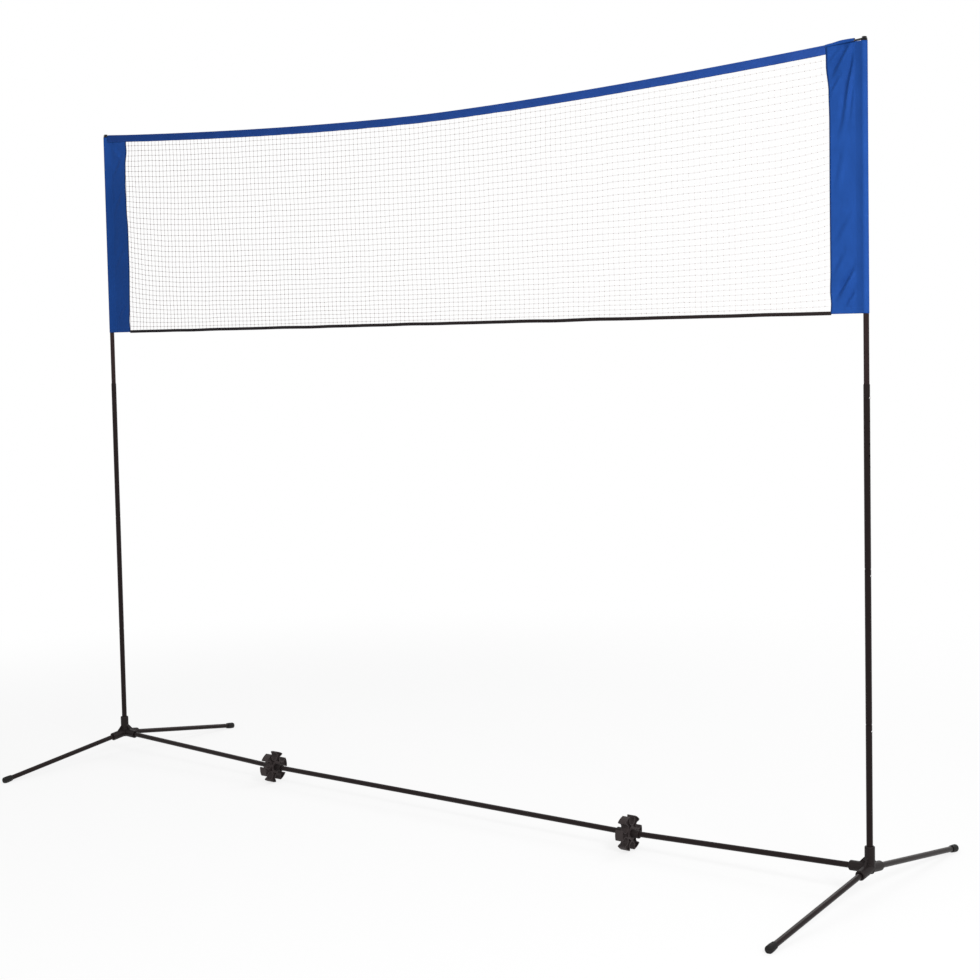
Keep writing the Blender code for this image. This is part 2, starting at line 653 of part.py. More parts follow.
def make_sleeve(name, side):
    """Side band of woven cloth: a pocket round the inner post tube and a flat part sewn to the net."""
    pocket = INNER_RADIUS + POCKET_SLACK
    shift = POCKET_SLACK - TOUCH_GAP
    outer = arc(shift, 0, pocket + SLEEVE_CLOTH, POCKET_OPEN, math.tau - POCKET_OPEN, SLEEVE_POCKET_STEPS)
    tail = steps(TAIL_START, SLEEVE_REACH, TAIL_STEPS)
    outer += [(reach, -TAIL_HALF) for reach in tail]
    outer += [(reach, TAIL_HALF) for reach in reversed(tail)]
    inner = arc(shift, 0, pocket, POCKET_OPEN, math.tau - POCKET_OPEN, SLEEVE_POCKET_STEPS)
    inner.append((TAIL_START - SLEEVE_CLOTH, 0))
    mesh = outline_mesh(f"{name}_sleeve", [outer, inner], 1)
    slice_mesh(mesh, (0, 0, 1), steps(-0.5, 0.5, SLEEVE_LEVELS)[1:-1])
    for vertex in mesh.vertices:
        reach, across, rise = vertex.co.x, vertex.co.y, vertex.co.z + 0.5
        height = SLEEVE_BOTTOM + rise * (sleeve_top(reach) - SLEEVE_BOTTOM)
        vertex.co = (side * (HALF_SPAN - reach), across + sleeve_fold(reach, rise, side), height)
    if side > 0:
        mesh.flip_normals()
    add_part(f"{name}_sleeve", mesh, sleeve_cloth)


def lay_along_net(mesh, height_at):
    """Turn a prism so that its length lies along X, then lift each point by the height of its place."""
    for vertex in mesh.vertices:
        y, z, x = vertex.co
        vertex.co = (x, y, z + height_at(x))


def make_top_tape():
    """Blue tape folded over the head cord and the net's top edge."""
    bore = CORD_RADIUS + TOUCH_GAP
    back = bore + TAPE_CLOTH
    leaf = TAPE_SLOT + TAPE_CLOTH
    low = back - TAPE_HEIGHT
    outer_gap = math.asin(leaf / back)
    inner_gap = math.asin(TAPE_SLOT / bore)
    quarter = math.pi / 2
    outer = arc(0, 0, back, outer_gap - quarter, 3 * quarter - outer_gap, ARC_STEPS)
    inner = arc(0, 0, bore, 3 * quarter - inner_gap, inner_gap - quarter, ARC_STEPS)
    outline = [(leaf, low), *outer, (-leaf, low), (-TAPE_SLOT, low), *inner, (TAPE_SLOT, low)]
    length = 2 * (HALF_SPAN - SLEEVE_REACH - TOUCH_GAP)
    mesh = outline_mesh("top_tape", [outline], length)
    slice_mesh(mesh, (0, 0, 1), steps(-length / 2, length / 2, TAPE_STATIONS)[1:-1])
    lay_along_net(mesh, cord_line)
    add_part("top_tape", mesh, tape_cloth)


def make_bottom_tape():
    """Black tape folded up over the net's bottom edge, drawn straight between the sleeves."""
    leaf = TAPE_SLOT + TAPE_CLOTH
    outline = [(leaf, HEM_HEIGHT), (leaf, TAPE_CLOTH), (TAPE_SLOT, 0), (-TAPE_SLOT, 0), (-leaf, TAPE_CLOTH),
               (-leaf, HEM_HEIGHT), (-TAPE_SLOT, HEM_HEIGHT), (-TAPE_SLOT, 2 * TAPE_CLOTH),
               (TAPE_SLOT, 2 * TAPE_CLOTH), (TAPE_SLOT, HEM_HEIGHT)]
    length = 2 * (HALF_SPAN - SLEEVE_REACH - TOUCH_GAP)
    mesh = outline_mesh("bottom_tape", [outline], length)
    lay_along_net(mesh, lambda x: HEM_BOTTOM)
    add_part("bottom_tape", mesh, hem_cloth)


def make_net():
    """The net as a lattice of crossing strands, its top edge following the head cord."""
    half = HALF_SPAN - SLEEVE_REACH - TOUCH_GAP - STRAND
    low = HEM_BOTTOM + HEM_HEIGHT - NET_TUCK
    tape_low = CORD_RADIUS + TOUCH_GAP + TAPE_CLOTH - TAPE_HEIGHT
    bm = bmesh.new()
    bmesh.ops.create_grid(bm, x_segments=NET_COLUMNS, y_segments=NET_ROWS, size=0.5)
    for vertex in bm.verts:
        x = vertex.co.x * 2 * half
        high = cord_line(x) + tape_low + NET_TUCK
        vertex.co = (x, 0, low + (vertex.co.y + 0.5) * (high - low))
    mesh = bpy.data.meshes.new("net_mesh")
    bm.to_mesh(mesh)
    bm.free()
    net = add_part("net_mesh", mesh, net_twine)
    strands = net.modifiers.new("strands", "WIREFRAME")
    strands.thickness = STRAND
    strands.use_boundary = True
    strands.use_even_offset = False


block = bpy.data.meshes.new("floor_block")
block_shape = bmesh.new()
bmesh.ops.create_cube(block_shape, size=POST_SPAN * 2, matrix=Matrix.Translation((0, 0, -POST_SPAN)))
block_shape.to_mesh(block)
block_shape.free()
floor_block = add_helper("floor_block", block)

for side_name, side_sign in SIDES:
    make_hub(f"{side_name}_hub", side_sign)
    make_foot(f"{side_name}_front", side_sign, -1)
    make_foot(f"{side_name}_back", side_sign, 1)
    make_bar(side_name, side_sign)
    make_coupler(side_name, side_sign)
    make_disc(side_name, side_sign)
    make_post(side_name, side_sign)
    make_post_cap(side_name, side_sign)
    make_ferrule(side_name, side_sign)
    make_sleeve(side_name, side_sign)
make_head_cord()
make_top_tape()
make_bottom_tape()
make_net()
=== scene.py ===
import json
import math

import bmesh
import bpy
from mathutils import Matrix, Vector, noise

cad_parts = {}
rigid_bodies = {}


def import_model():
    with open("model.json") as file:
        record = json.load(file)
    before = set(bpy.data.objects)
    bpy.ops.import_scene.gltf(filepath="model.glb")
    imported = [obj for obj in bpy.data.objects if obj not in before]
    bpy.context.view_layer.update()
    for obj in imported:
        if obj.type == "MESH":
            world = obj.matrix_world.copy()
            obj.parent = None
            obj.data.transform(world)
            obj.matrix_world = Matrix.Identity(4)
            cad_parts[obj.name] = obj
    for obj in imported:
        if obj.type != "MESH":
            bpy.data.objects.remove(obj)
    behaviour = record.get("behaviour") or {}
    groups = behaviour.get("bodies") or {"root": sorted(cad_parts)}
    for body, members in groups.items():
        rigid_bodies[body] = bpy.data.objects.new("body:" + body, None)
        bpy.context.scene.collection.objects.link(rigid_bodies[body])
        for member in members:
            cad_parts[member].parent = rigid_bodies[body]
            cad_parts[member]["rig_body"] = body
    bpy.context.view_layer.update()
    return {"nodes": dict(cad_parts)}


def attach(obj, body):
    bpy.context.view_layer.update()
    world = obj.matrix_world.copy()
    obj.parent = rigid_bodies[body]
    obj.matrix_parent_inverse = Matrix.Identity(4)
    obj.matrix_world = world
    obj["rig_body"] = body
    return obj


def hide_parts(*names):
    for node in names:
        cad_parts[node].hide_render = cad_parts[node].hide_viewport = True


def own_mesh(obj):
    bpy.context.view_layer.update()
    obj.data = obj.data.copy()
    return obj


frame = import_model()

# Camera: the set was photographed from about 5.6 m away, at head height, from in front and to its
# right. The focal length and the shift are in pixels of the square picture.
picture_side, focal_length, picture_shift, sensor_width = 980, 1803.2, -40, 36
eye = Vector((3.6718, -4.2143, 1.4816))
yaw, pitch, tilt = math.radians(37.872), math.radians(-3.511), math.radians(-1.040)
ahead = Vector((-math.sin(yaw) * math.cos(pitch), math.cos(yaw) * math.cos(pitch), math.sin(pitch)))
camera = bpy.data.objects.new("camera", bpy.data.cameras.new("camera"))
camera.data.lens = sensor_width * focal_length / picture_side
camera.data.shift_x = camera.data.shift_y = picture_shift / picture_side
camera.data.clip_start = 0.02
camera.matrix_world = (Matrix.Translation(eye) @ ahead.to_track_quat("-Z", "Y").to_matrix().to_4x4()
                       @ Matrix.Rotation(tilt, 4, "Z"))
bpy.context.scene.collection.objects.link(camera)
bpy.context.scene.camera = camera


# Finishes: every material is made of nodes. A Level is a value in one, so sums on it add its Math
# nodes, and a Finish is the material itself.
class Level:
    def __init__(self, finish, socket):
        self.finish = finish
        self.socket = socket

    def sum(self, operation, *values):
        return self.finish.node("ShaderNodeMath", dict(enumerate(values)), operation=operation)

    def of(self, operation):
        return self.sum(operation, self)

    def __add__(self, other):
        return self.sum("ADD", self, other)

    __radd__ = __add__

    def __sub__(self, other):
        return self.sum("SUBTRACT", self, other)

    def __rsub__(self, other):
        return self.sum("SUBTRACT", other, self)

    def __mul__(self, other):
        return self.sum("MULTIPLY", self, other)

    __rmul__ = __mul__

    def __truediv__(self, other):
        return self.sum("DIVIDE", self, other)

    def __lt__(self, other):
        return self.sum("LESS_THAN", self, other)

    def __gt__(self, other):
        return self.sum("GREATER_THAN", self, other)

    def __abs__(self):
        return self.of("ABSOLUTE")


class Finish:
    def __init__(self, name, **fixed):
        self.material = bpy.data.materials.new(name)
        self.material.use_nodes = True
        self.tree = self.material.node_tree
        self.shader = self.tree.nodes["Principled BSDF"]
        for key, value in fixed.items():
            self.feed(self.shader.inputs[key.replace("_", " ")], value)

    def feed(self, socket, value):
        if isinstance(value, Level):
            self.tree.links.new(value.socket, socket)
        else:
            socket.default_value = value

    def node(self, kind, sockets=None, out=0, **settings):
        node = self.tree.nodes.new(kind)
        for key, value in settings.items():
            setattr(node, key, value)
        for key, value in (sockets or {}).items():
            self.feed(node.inputs[key], value)
        return Level(self, node.outputs[out])

    def spot(self):
        """A place on the piece, in metres from the object's origin."""
        return self.node("ShaderNodeTexCoord", out="Object")

    def axis(self, place, letter):
        return self.node("ShaderNodeSeparateXYZ", {0: place}, out=letter)

    def noise(self, place, scale, detail, roughness=0.5):
        return self.node("ShaderNodeTexNoise", {"Vector": place, "Scale": scale, "Detail": detail,
                                                "Roughness": roughness})

    def ramp(self, value, low, high, start=0.0, end=1.0, **settings):
        return self.node("ShaderNodeMapRange", {"Value": value, "From Min": low, "From Max": high,
                                                "To Min": start, "To Max": end}, **settings)

    def tint(self, mask, a, b):
        """From colour a to colour b by a mask. The first may be a colour that nodes give."""
        first = a if isinstance(a, Level) else (*a, 1)
        return self.node("ShaderNodeMix", {0: mask, 6: first, 7: (*b, 1)}, out=2, data_type="RGBA")

    def bump(self, height, depth, strength):
        return self.node("ShaderNodeBump", {"Height": height, "Distance": depth, "Strength": strength})

    def wear(self, colour, roughness, normal):
        for key, value in (("Base Color", colour), ("Roughness", roughness), ("Normal", normal)):
            self.feed(self.shader.inputs[key], value)
        return self.material


# Studio: a white sweep that shows as white, with the faint shadow that the set throws on the floor.
# The shadow is let through near the set and fades out further off.
floor_radius, shadow_near, shadow_far, shadow_share, sky_strength = 40, 2.0, 4.5, 0.22, 0.50
floor_mesh = bmesh.new()
bmesh.ops.create_circle(floor_mesh, cap_ends=True, segments=96, radius=floor_radius)
floor_data = bpy.data.meshes.new("studio_floor")
floor_mesh.to_mesh(floor_data)
floor_mesh.free()
floor = bpy.data.objects.new("studio_floor", floor_data)
bpy.context.scene.collection.objects.link(floor)
paper = Finish("studio_paper", Base_Color=(0.94, 0.94, 0.94, 1), Roughness=0.9, Specular_IOR_Level=0.0)
paper_reach = paper.node("ShaderNodeVectorMath", {0: paper.spot()}, out="Value", operation="LENGTH")
paper_near = paper.ramp(paper_reach, shadow_near, shadow_far, shadow_share, 0.0,
                        interpolation_type="SMOOTHSTEP")
seen_by = paper.tree.nodes.new("ShaderNodeLightPath").outputs
seen = Level(paper, seen_by["Is Camera Ray"]) + Level(paper, seen_by["Is Glossy Ray"])
seen = seen + Level(paper, seen_by["Is Transmission Ray"])
glow = paper.node("ShaderNodeEmission", {"Color": (1, 1, 1, 1), "Strength": 1.0})
matte = Level(paper, paper.shader.outputs[0])
sweep = paper.node("ShaderNodeMixShader", {0: seen * (1 - paper_near), 1: matte, 2: glow})
paper.tree.links.new(sweep.socket, paper.tree.nodes["Material Output"].inputs["Surface"])
floor.data.materials.append(paper.material)

sky = bpy.data.worlds.new("studio")
sky.use_nodes = True
bpy.context.scene.world = sky
sky_nodes, sky_links = sky.node_tree.nodes, sky.node_tree.links
sky_path = sky_nodes.new("ShaderNodeLightPath").outputs
sky_seen = sky_nodes.new("ShaderNodeMath")
sky_links.new(sky_path["Is Camera Ray"], sky_seen.inputs[0])
sky_links.new(sky_path["Is Glossy Ray"], sky_seen.inputs[1])
sky_through = sky_nodes.new("ShaderNodeMath")
sky_through.use_clamp = True
sky_links.new(sky_seen.outputs[0], sky_through.inputs[0])
sky_links.new(sky_path["Is Transmission Ray"], sky_through.inputs[1])
sky_level = sky_nodes.new("ShaderNodeMapRange")
sky_level.inputs["To Min"].default_value = sky_strength
sky_level.inputs["To Max"].default_value = 1.0
sky_links.new(sky_through.outputs[0], sky_level.inputs["Value"])
sky_links.new(sky_level.outputs[0], sky_nodes["Background"].inputs["Strength"])
sky_nodes["Background"].inputs["Color"].default_value = (1, 1, 1, 1)

lit_spot = Vector((0, 0, 1.1))
for lamp_name, spot, size, watts in (("key_softbox", (5.5, -3.0, 4.2), 2.2, 270),
                                     ("fill_softbox", (0.5, -5.5, 2.6), 3.0, 45),
                                     ("back_softbox", (0.5, 4.5, 4.0), 3.0, 80)):
    lamp = bpy.data.objects.new(lamp_name, bpy.data.lights.new(lamp_name, "AREA"))
    lamp.data.size = size
    lamp.data.energy = watts
    lamp.location = spot
    lamp.rotation_euler = (lit_spot - Vector(spot)).to_track_quat("-Z", "Y").to_euler()
    bpy.context.scene.collection.objects.link(lamp)
bpy.context.scene.view_settings.view_transform = "Standard"


# Tubes of the feet, the base bar and the posts: drawn steel in a black powder coat, a little glossy,
# with a fine orange-peel skin and rims rolled smooth. Holes for the snap buttons are punched in the
# outer side of the posts, and those that set the height are 30 mm apart.
def carry(name, bm, material, body, slot, *nodes):
    """Make a finished piece from a bmesh, in place of CAD nodes where any are named."""
    mesh = bpy.data.meshes.new(name)
    bm.to_mesh(mesh)
    bm.free()
    mesh.materials.append(material)
    piece = bpy.data.objects.new(name, mesh)
    bpy.context.scene.collection.objects.link(piece)
    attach(piece, body)
    if nodes:
        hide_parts(*nodes)
    return piece


def shade_round(piece, degrees):
    """Shade a piece smooth, except where an edge is sharper than an angle."""
    piece.data.shade_smooth()
    piece.data.set_sharp_from_angle(angle=math.radians(degrees))
    return piece


def along(start, way):
    """Stand local Z along a direction, with local Y in the upright plane through it."""
    return Matrix.Translation(start) @ Vector(way).to_track_quat("Z", "Y").to_matrix().to_4x4()


def turned(profile, facets=56, ring=False):
    """A shape turned about Z from (radius, height) points, from axis to axis or round a ring."""
    bm = bmesh.new()
    line = [bm.verts.new((radius, 0, height)) for radius, height in profile]
    for a, b in zip(line, line[1:]):
        bm.edges.new((a, b))
    if ring:
        bm.edges.new((line[-1], line[0]))
    bmesh.ops.spin(bm, geom=bm.verts[:] + bm.edges[:], axis=(0, 0, 1), cent=(0, 0, 0),
                   angle=math.tau, steps=facets, use_merge=True)
    bmesh.ops.remove_doubles(bm, verts=bm.verts[:], dist=0.000001)
    bmesh.ops.recalc_face_normals(bm, faces=bm.faces[:])
    return bm


def add_shape(bm, shape, place):
    """Join another bmesh into one, set in its place."""
    shape.transform(place)
    mesh = bpy.data.meshes.new("shape")
    shape.to_mesh(mesh)
    shape.free()
    bm.from_mesh(mesh)
    bpy.data.meshes.remove(mesh)


def settle(piece):
    """Apply a piece's modifiers."""
    bpy.context.view_layer.update()
    shown = piece.evaluated_get(bpy.context.evaluated_depsgraph_get())
    mesh = bpy.data.meshes.new_from_object(shown)
    piece.modifiers.clear()
    old, piece.data = piece.data, mesh
    bpy.data.meshes.remove(old)


def cut_away(piece, shape):
    """Cut a bmesh out of a piece."""
    mesh = bpy.data.meshes.new("cutter")
    shape.to_mesh(mesh)
    shape.free()
    cutter = bpy.data.objects.new("cutter", mesh)
    bpy.context.scene.collection.objects.link(cutter)
    cut = piece.modifiers.new("cut", "BOOLEAN")
    cut.object = cutter
    settle(piece)
    bpy.data.objects.remove(cutter)
    return piece


def powder_coat(name, dark, pale, rough):
    coat = Finish(name, Specular_IOR_Level=0.15, Specular_Tint=(1.0, 0.80, 0.78, 1))
    place = coat.spot()
    skin = coat.noise(place, 1400, 2)
    mottle = coat.noise(place, 26, 4, 0.6)
    scuff = coat.noise(place, 150, 5, 0.7) > 0.70
    return coat.wear(coat.tint(mottle * 0.5 + scuff * 0.30, dark, pale),
                     rough + mottle * 0.12 + skin * 0.08, coat.bump(skin, 0.00006, 0.5))


def drawn_tube(node, material, slot, place, length, radius, spigot=None, sign=0, holes=()):
    """A tube from local Z = 0 up, with holes at heights from the floor. A spigot's radius adds a
    swaged end below Z = 0."""
    wall, lip, spigot_end, punch = 0.0008, 0.00025, -0.045, 0.018
    bore = radius - wall
    outline = [(bore, length - lip), (bore + lip, length), (radius - lip, length),
               (radius, length - lip)]
    if spigot is None:
        outline += [(radius, lip), (radius - lip, 0), (bore + lip, 0), (bore, lip)]
    else:
        thin = spigot - wall
        outline += [(radius, 0.0046), (radius - 0.0002, 0.0037), (spigot + 0.0002, 0.0004),
                    (spigot, -0.0004), (spigot, lip + spigot_end), (spigot - lip, spigot_end),
                    (thin + lip, spigot_end), (thin, lip + spigot_end), (thin, -0.0004), (bore, 0.0046)]
    shape = turned(outline, ring=True)
    shape.transform(place)
    piece = carry(f"{node}_drawn", shape, material, frame["nodes"][node]["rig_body"], slot, node)
    if holes:
        punched = bmesh.new()
        for height in holes:
            spot = Matrix.Translation((sign * (half_span + punch / 2), 0, height))
            bmesh.ops.create_cone(punched, cap_ends=True, segments=28, radius1=hole_radius,
                                  radius2=hole_radius, depth=punch,
                                  matrix=spot @ Matrix.Rotation(math.pi / 2, 4, "Y"))
        cut_away(piece, punched)
    shade_round(piece, 40)


sides = (("left", -1), ("right", 1))
ends = (("front", -1), ("back", 1))
half_span, hub_height = 1.500, 0.080
coupler_reach, coupler_height = 0.730, 0.054
post_radius, tube_radius, inner_radius, bar_spigot = 0.0086, 0.0080, 0.0075, 0.0069
touch_gap = 0.0003
hub_stop, coupler_stop = 0.0153, 0.0018     # from the centre of one to the ends of the tubes in it
foot_end = 0.5257                           # from a hub's centre to a foot tube's far end
rest_reach, rest_rise = 0.520, 0.0098       # from there to where a foot rests, and its axis's height
lower_rim, middle_rim, outer_rim = 0.459, 0.868, 1.350
lower_joint, upper_joint, height_pin = 0.443, 0.852, 1.315
hole_radius, hole_pitch, hole_count = 0.0032, 0.030, 7
inner_bottom, inner_top = 1.215, 2.2280
foot_slope = math.asin((hub_height - rest_rise) / rest_reach)


def hub_at(sign):
    return Vector((sign * half_span, 0, hub_height))


def coupler_at(sign):
    return Vector((sign * coupler_reach, 0, coupler_height))


def foot_way(way):
    """The direction in which a foot slopes down from its hub."""
    return Vector((0, way * math.cos(foot_slope), -math.sin(foot_slope)))


tube_coat = powder_coat("tube_coat", (0.0050, 0.0032, 0.0032), (0.0160, 0.0115, 0.0117), rough=0.22)
inner_coat = powder_coat("inner_tube_coat", (0.0120, 0.0068, 0.0070), (0.030, 0.0170, 0.0175),
                         rough=0.18)
height_holes = [height_pin - hole_pitch * step for step in range(hole_count)]
for side, sign in sides:
    for end, way in ends:
        down = foot_way(way)
        drawn_tube(f"{side}_{end}_foot_tube", tube_coat, "tube_coat",
                   along(hub_at(sign) + down * hub_stop, down), foot_end - hub_stop, tube_radius)
    outer_bar = coupler_at(sign) - hub_at(sign)
    drawn_tube(f"{side}_outer_bar_tube", tube_coat, "tube_coat",
               along(hub_at(sign) + outer_bar.normalized() * hub_stop, outer_bar),
               outer_bar.length - hub_stop - coupler_stop, tube_radius)
    # The inner bar tubes meet at mid span, where the left one's spigot enters the right one.
    bar_start = touch_gap if sign > 0 else 0
    drawn_tube(f"{side}_inner_bar_tube", tube_coat, "tube_coat",
               along((bar_start, 0, coupler_height), (sign, 0, 0)),
               coupler_reach - coupler_stop - bar_start, tube_radius, bar_spigot if sign < 0 else None)
    for part, low, high, spigot, holes in (
            ("lower", hub_height + hub_stop, lower_rim, None, [lower_joint]),
            ("middle", lower_rim + touch_gap, middle_rim, inner_radius, [lower_joint, upper_joint]),
            ("outer", middle_rim + touch_gap, outer_rim, inner_radius, [upper_joint, *height_holes])):
        drawn_tube(f"{side}_{part}_post_tube", tube_coat, "tube_coat",
                   Matrix.Translation((sign * half_span, 0, low)), high - low, post_radius, spigot,
                   sign, holes)
    # The inner post tube is thinner and in a glossier coat that has a slight red tint.
    drawn_tube(f"{side}_inner_post_tube", inner_coat, "inner_tube_coat",
               Matrix.Translation((sign * half_span, 0, inner_bottom)), inner_top - inner_bottom,
               inner_radius, None, sign, [height_pin])


# Hubs: one moulding of black nylon each, with four round sockets and a gusset over each sloping one.
# The skin has a fine spark grain, and the corners are filleted as a mould leaves them.
def moulded(name, grey, pale, rough, grain_depth):
    nylon = Finish(name, Specular_IOR_Level=0.16, Specular_Tint=(1.0, 0.84, 0.82, 1))
    place = nylon.spot()
    grain = nylon.noise(place, 2600, 2)
    flow = nylon.noise(place, 40, 3)
    return nylon.wear(nylon.tint(flow * 0.7, grey, pale), rough + grain * 0.14 + flow * 0.06,
                      nylon.bump(grain, grain_depth, 0.6))


def prism(loop, low, high):
    """A straight-sided block from an outline in local XY."""
    bm = bmesh.new()
    face = bm.faces.new([bm.verts.new((x, y, low)) for x, y in loop])
    grown = bmesh.ops.extrude_face_region(bm, geom=[face])
    bmesh.ops.translate(bm, verts=[v for v in grown["geom"] if isinstance(v, bmesh.types.BMVert)],
                        vec=(0, 0, high - low))
    bmesh.ops.recalc_face_normals(bm, faces=bm.faces[:])
    return bm


hub_plastic = moulded("hub_plastic", (0.0066, 0.0052, 0.0052), (0.0180, 0.0145, 0.0145),
                      rough=0.40, grain_depth=0.00008)
socket_radius, socket_reach, socket_floor, past_socket = 0.0137, 0.058, 0.030, 0.07
gusset_half, gusset_outline = 0.0017, ((0.007, -0.007), (0.036, 0), (0.036, 0.007), (0.007, 0.036))
skin_voxel = 0.0007
for side, sign in sides:
    centre = hub_at(sign)
    arms = [Vector((0, 0, 1)), (coupler_at(sign) - centre).normalized(), foot_way(-1), foot_way(1)]
    body = bmesh.new()
    for arm in arms:
        socket = turned([(0, socket_reach), (socket_radius - 0.0015, socket_reach),
                         (socket_radius, socket_reach - 0.0018), (socket_radius, 0), (0, 0)])
        add_shape(body, socket, along(centre, arm))
    chin = turned([(0, 0.004), (socket_radius, 0.004), (socket_radius, -0.0085),
                   (socket_radius * 0.72, -0.0145), (0, -0.0150)])
    add_shape(body, chin, Matrix.Translation(centre))
    for arm in arms[1:]:
        turn = Matrix.Rotation(math.atan2(arm.y, arm.x), 4, "Z") @ Matrix.Rotation(math.pi / 2, 4, "X")
        add_shape(body, prism(gusset_outline, -gusset_half, gusset_half),
                  Matrix.Translation(centre) @ turn)
    hub = carry(f"{side}_hub_moulding", body, hub_plastic, "base_frame", "hub_plastic", f"{side}_hub")
    skin = hub.modifiers.new("one_skin", "REMESH")
    skin.mode = "VOXEL"
    skin.voxel_size = skin_voxel
    fillet = hub.modifiers.new("fillets", "SMOOTH")
    fillet.factor = 0.5
    fillet.iterations = 6
    settle(hub)
    bores = bmesh.new()
    for arm, radius in zip(arms, (post_radius, tube_radius, tube_radius, tube_radius)):
        mouth, bore = radius + 0.0011, radius + touch_gap
        cutter = turned([(0, past_socket), (mouth, past_socket), (mouth, socket_reach - 0.0008),
                         (bore, socket_reach - 0.0018), (bore, socket_floor), (0, socket_floor)])
        add_shape(bores, cutter, along(centre, arm))
    shade_round(cut_away(hub, bores), 40)

# Bar couplers: turned nylon sleeves whose middle is the journal of the clip disc. Each is bored for
# its two bar tubes, one bore level and the other along the outer bar.
journal_half, coupler_half, coupler_bore, coupler_mouth = 0.0128, 0.0388, 0.0083, 0.0092
coupler_web_half, past_coupler = 0.0015, 0.06
for side, sign in sides:
    centre = coupler_at(sign)
    outline = [(0, coupler_half), (0.0096, coupler_half), (0.0104, coupler_half - 0.0002),
               (0.0112, coupler_half - 0.0008), (0.0116, coupler_half - 0.0018),
               (0.0116, journal_half + 0.0002), (0.0114, journal_half), (0.0101, journal_half)]
    sleeve = turned(outline + [(radius, -height) for radius, height in reversed(outline)])
    sleeve.transform(along(centre, (1, 0, 0)))
    coupler = carry(f"{side}_coupler_turned", sleeve, hub_plastic, "base_frame", "hub_plastic",
                    f"{side}_bar_coupler")
    bores = bmesh.new()
    for way in (Vector((-sign, 0, 0)), hub_at(sign) - centre):
        cutter = turned([(0, past_coupler), (coupler_mouth, past_coupler),
                         (coupler_mouth, coupler_half - 0.0006), (coupler_bore, coupler_half - 0.0014),
                         (coupler_bore, coupler_web_half), (0, coupler_web_half)])
        add_shape(bores, cutter, along(centre, way))
    shade_round(cut_away(coupler, bores), 40)

# Post caps: nylon plugs in the tops of the inner tubes, turned with a flange that sits on the rim and
# a waisted neck under the head, which takes the loop at the cord's end.
for side, sign in sides:
    cap = turned([(0, 0.0111), (0.0030, 0.0111), (0.0046, 0.0108), (0.0058, 0.0102), (0.0065, 0.0094),
                  (0.0066, 0.0086), (0.0063, 0.0082), (0.0046, 0.0081), (0.0041, 0.0077),
                  (0.0040, 0.0070), (0.0040, 0.0034), (0.0042, 0.0027), (0.0048, 0.0023),
                  (0.0080, 0.0022), (0.0084, 0.0018), (0.0084, 0.0007), (0.0081, 0.0003),
                  (0.0064, 0.0003), (0.0064, -0.0175), (0.0060, -0.0180), (0, -0.0180)])
    cap.transform(Matrix.Translation((sign * half_span, 0, inner_top)))
    shade_round(carry(f"{side}_cap_turned", cap, hub_plastic, "net_assembly", "hub_plastic",
                      f"{side}_post_cap"), 50)

# Foot caps: soft black rubber, moulded and pushed over the ends of the foot tubes. Each stands on a
# flat, and its skin holds a little dust near the floor.
cap_start, dust_height = 0.500, 0.010
rubber = Finish("foot_rubber", Specular_IOR_Level=0.16)
rubber_place = rubber.spot()
rubber_skin = rubber.noise(rubber_place, 900, 4, 0.6)
dust = rubber.noise(rubber_place, 60, 4) * (rubber.axis(rubber_place, "Z") < dust_height)
foot_rubber = rubber.wear(rubber.tint(dust * 0.4, (0.0080, 0.0074, 0.0074), (0.045, 0.041, 0.039)),
                          0.58 + rubber_skin * 0.2, rubber.bump(rubber_skin, 0.0001, 0.4))
for side, sign in sides:
    for end, way in ends:
        shape = turned([(0, 0.0340), (0.0042, 0.0339), (0.0066, 0.0336), (0.0084, 0.0328),
                        (0.0098, 0.0315), (0.0107, 0.0296), (0.0110, 0.0270), (0.0110, 0.0163),
                        (0.0105, 0.0090), (0.0101, 0.0032), (0.0099, 0.0009), (0.0094, 0), (0.0088, 0),
                        (0.0083, 0.0005), (0.0083, 0.0260), (0, 0.0260)])
        down = foot_way(way)
        shape.transform(along(hub_at(sign) + down * cap_start, down))
        bmesh.ops.bisect_plane(shape, geom=shape.verts[:] + shape.edges[:] + shape.faces[:],
                               dist=0.000001, plane_co=(0, 0, 0), plane_no=(0, 0, 1), clear_inner=True)
        bmesh.ops.holes_fill(shape, edges=[edge for edge in shape.edges if edge.is_boundary], sides=0)
        bmesh.ops.recalc_face_normals(shape, faces=shape.faces[:])
        cap = carry(f"{side}_{end}_cap_moulded", shape, foot_rubber, "base_frame", "foot_rubber",
                    f"{side}_{end}_foot_cap")
        shade_round(cap, 35)


# Clip discs: moulded in a greyer plastic, six lobes with flared heads, hollowed on both faces so that
# a wall stands all round, and between the lobes round pockets for the poles. Edges have a small
# moulding radius.
def arc(x, y, radius, start, end, count):
    return [(x + radius * math.cos(start + (end - start) * i / count),
             y + radius * math.sin(start + (end - start) * i / count)) for i in range(count + 1)]


def ease_edges(piece, width, degrees):
    """Round a piece's sharp edges a little."""
    ease = piece.modifiers.new("eased_edges", "BEVEL")
    ease.width = width
    ease.segments = 2
    ease.limit_method = "ANGLE"
    ease.angle_limit = math.radians(degrees)


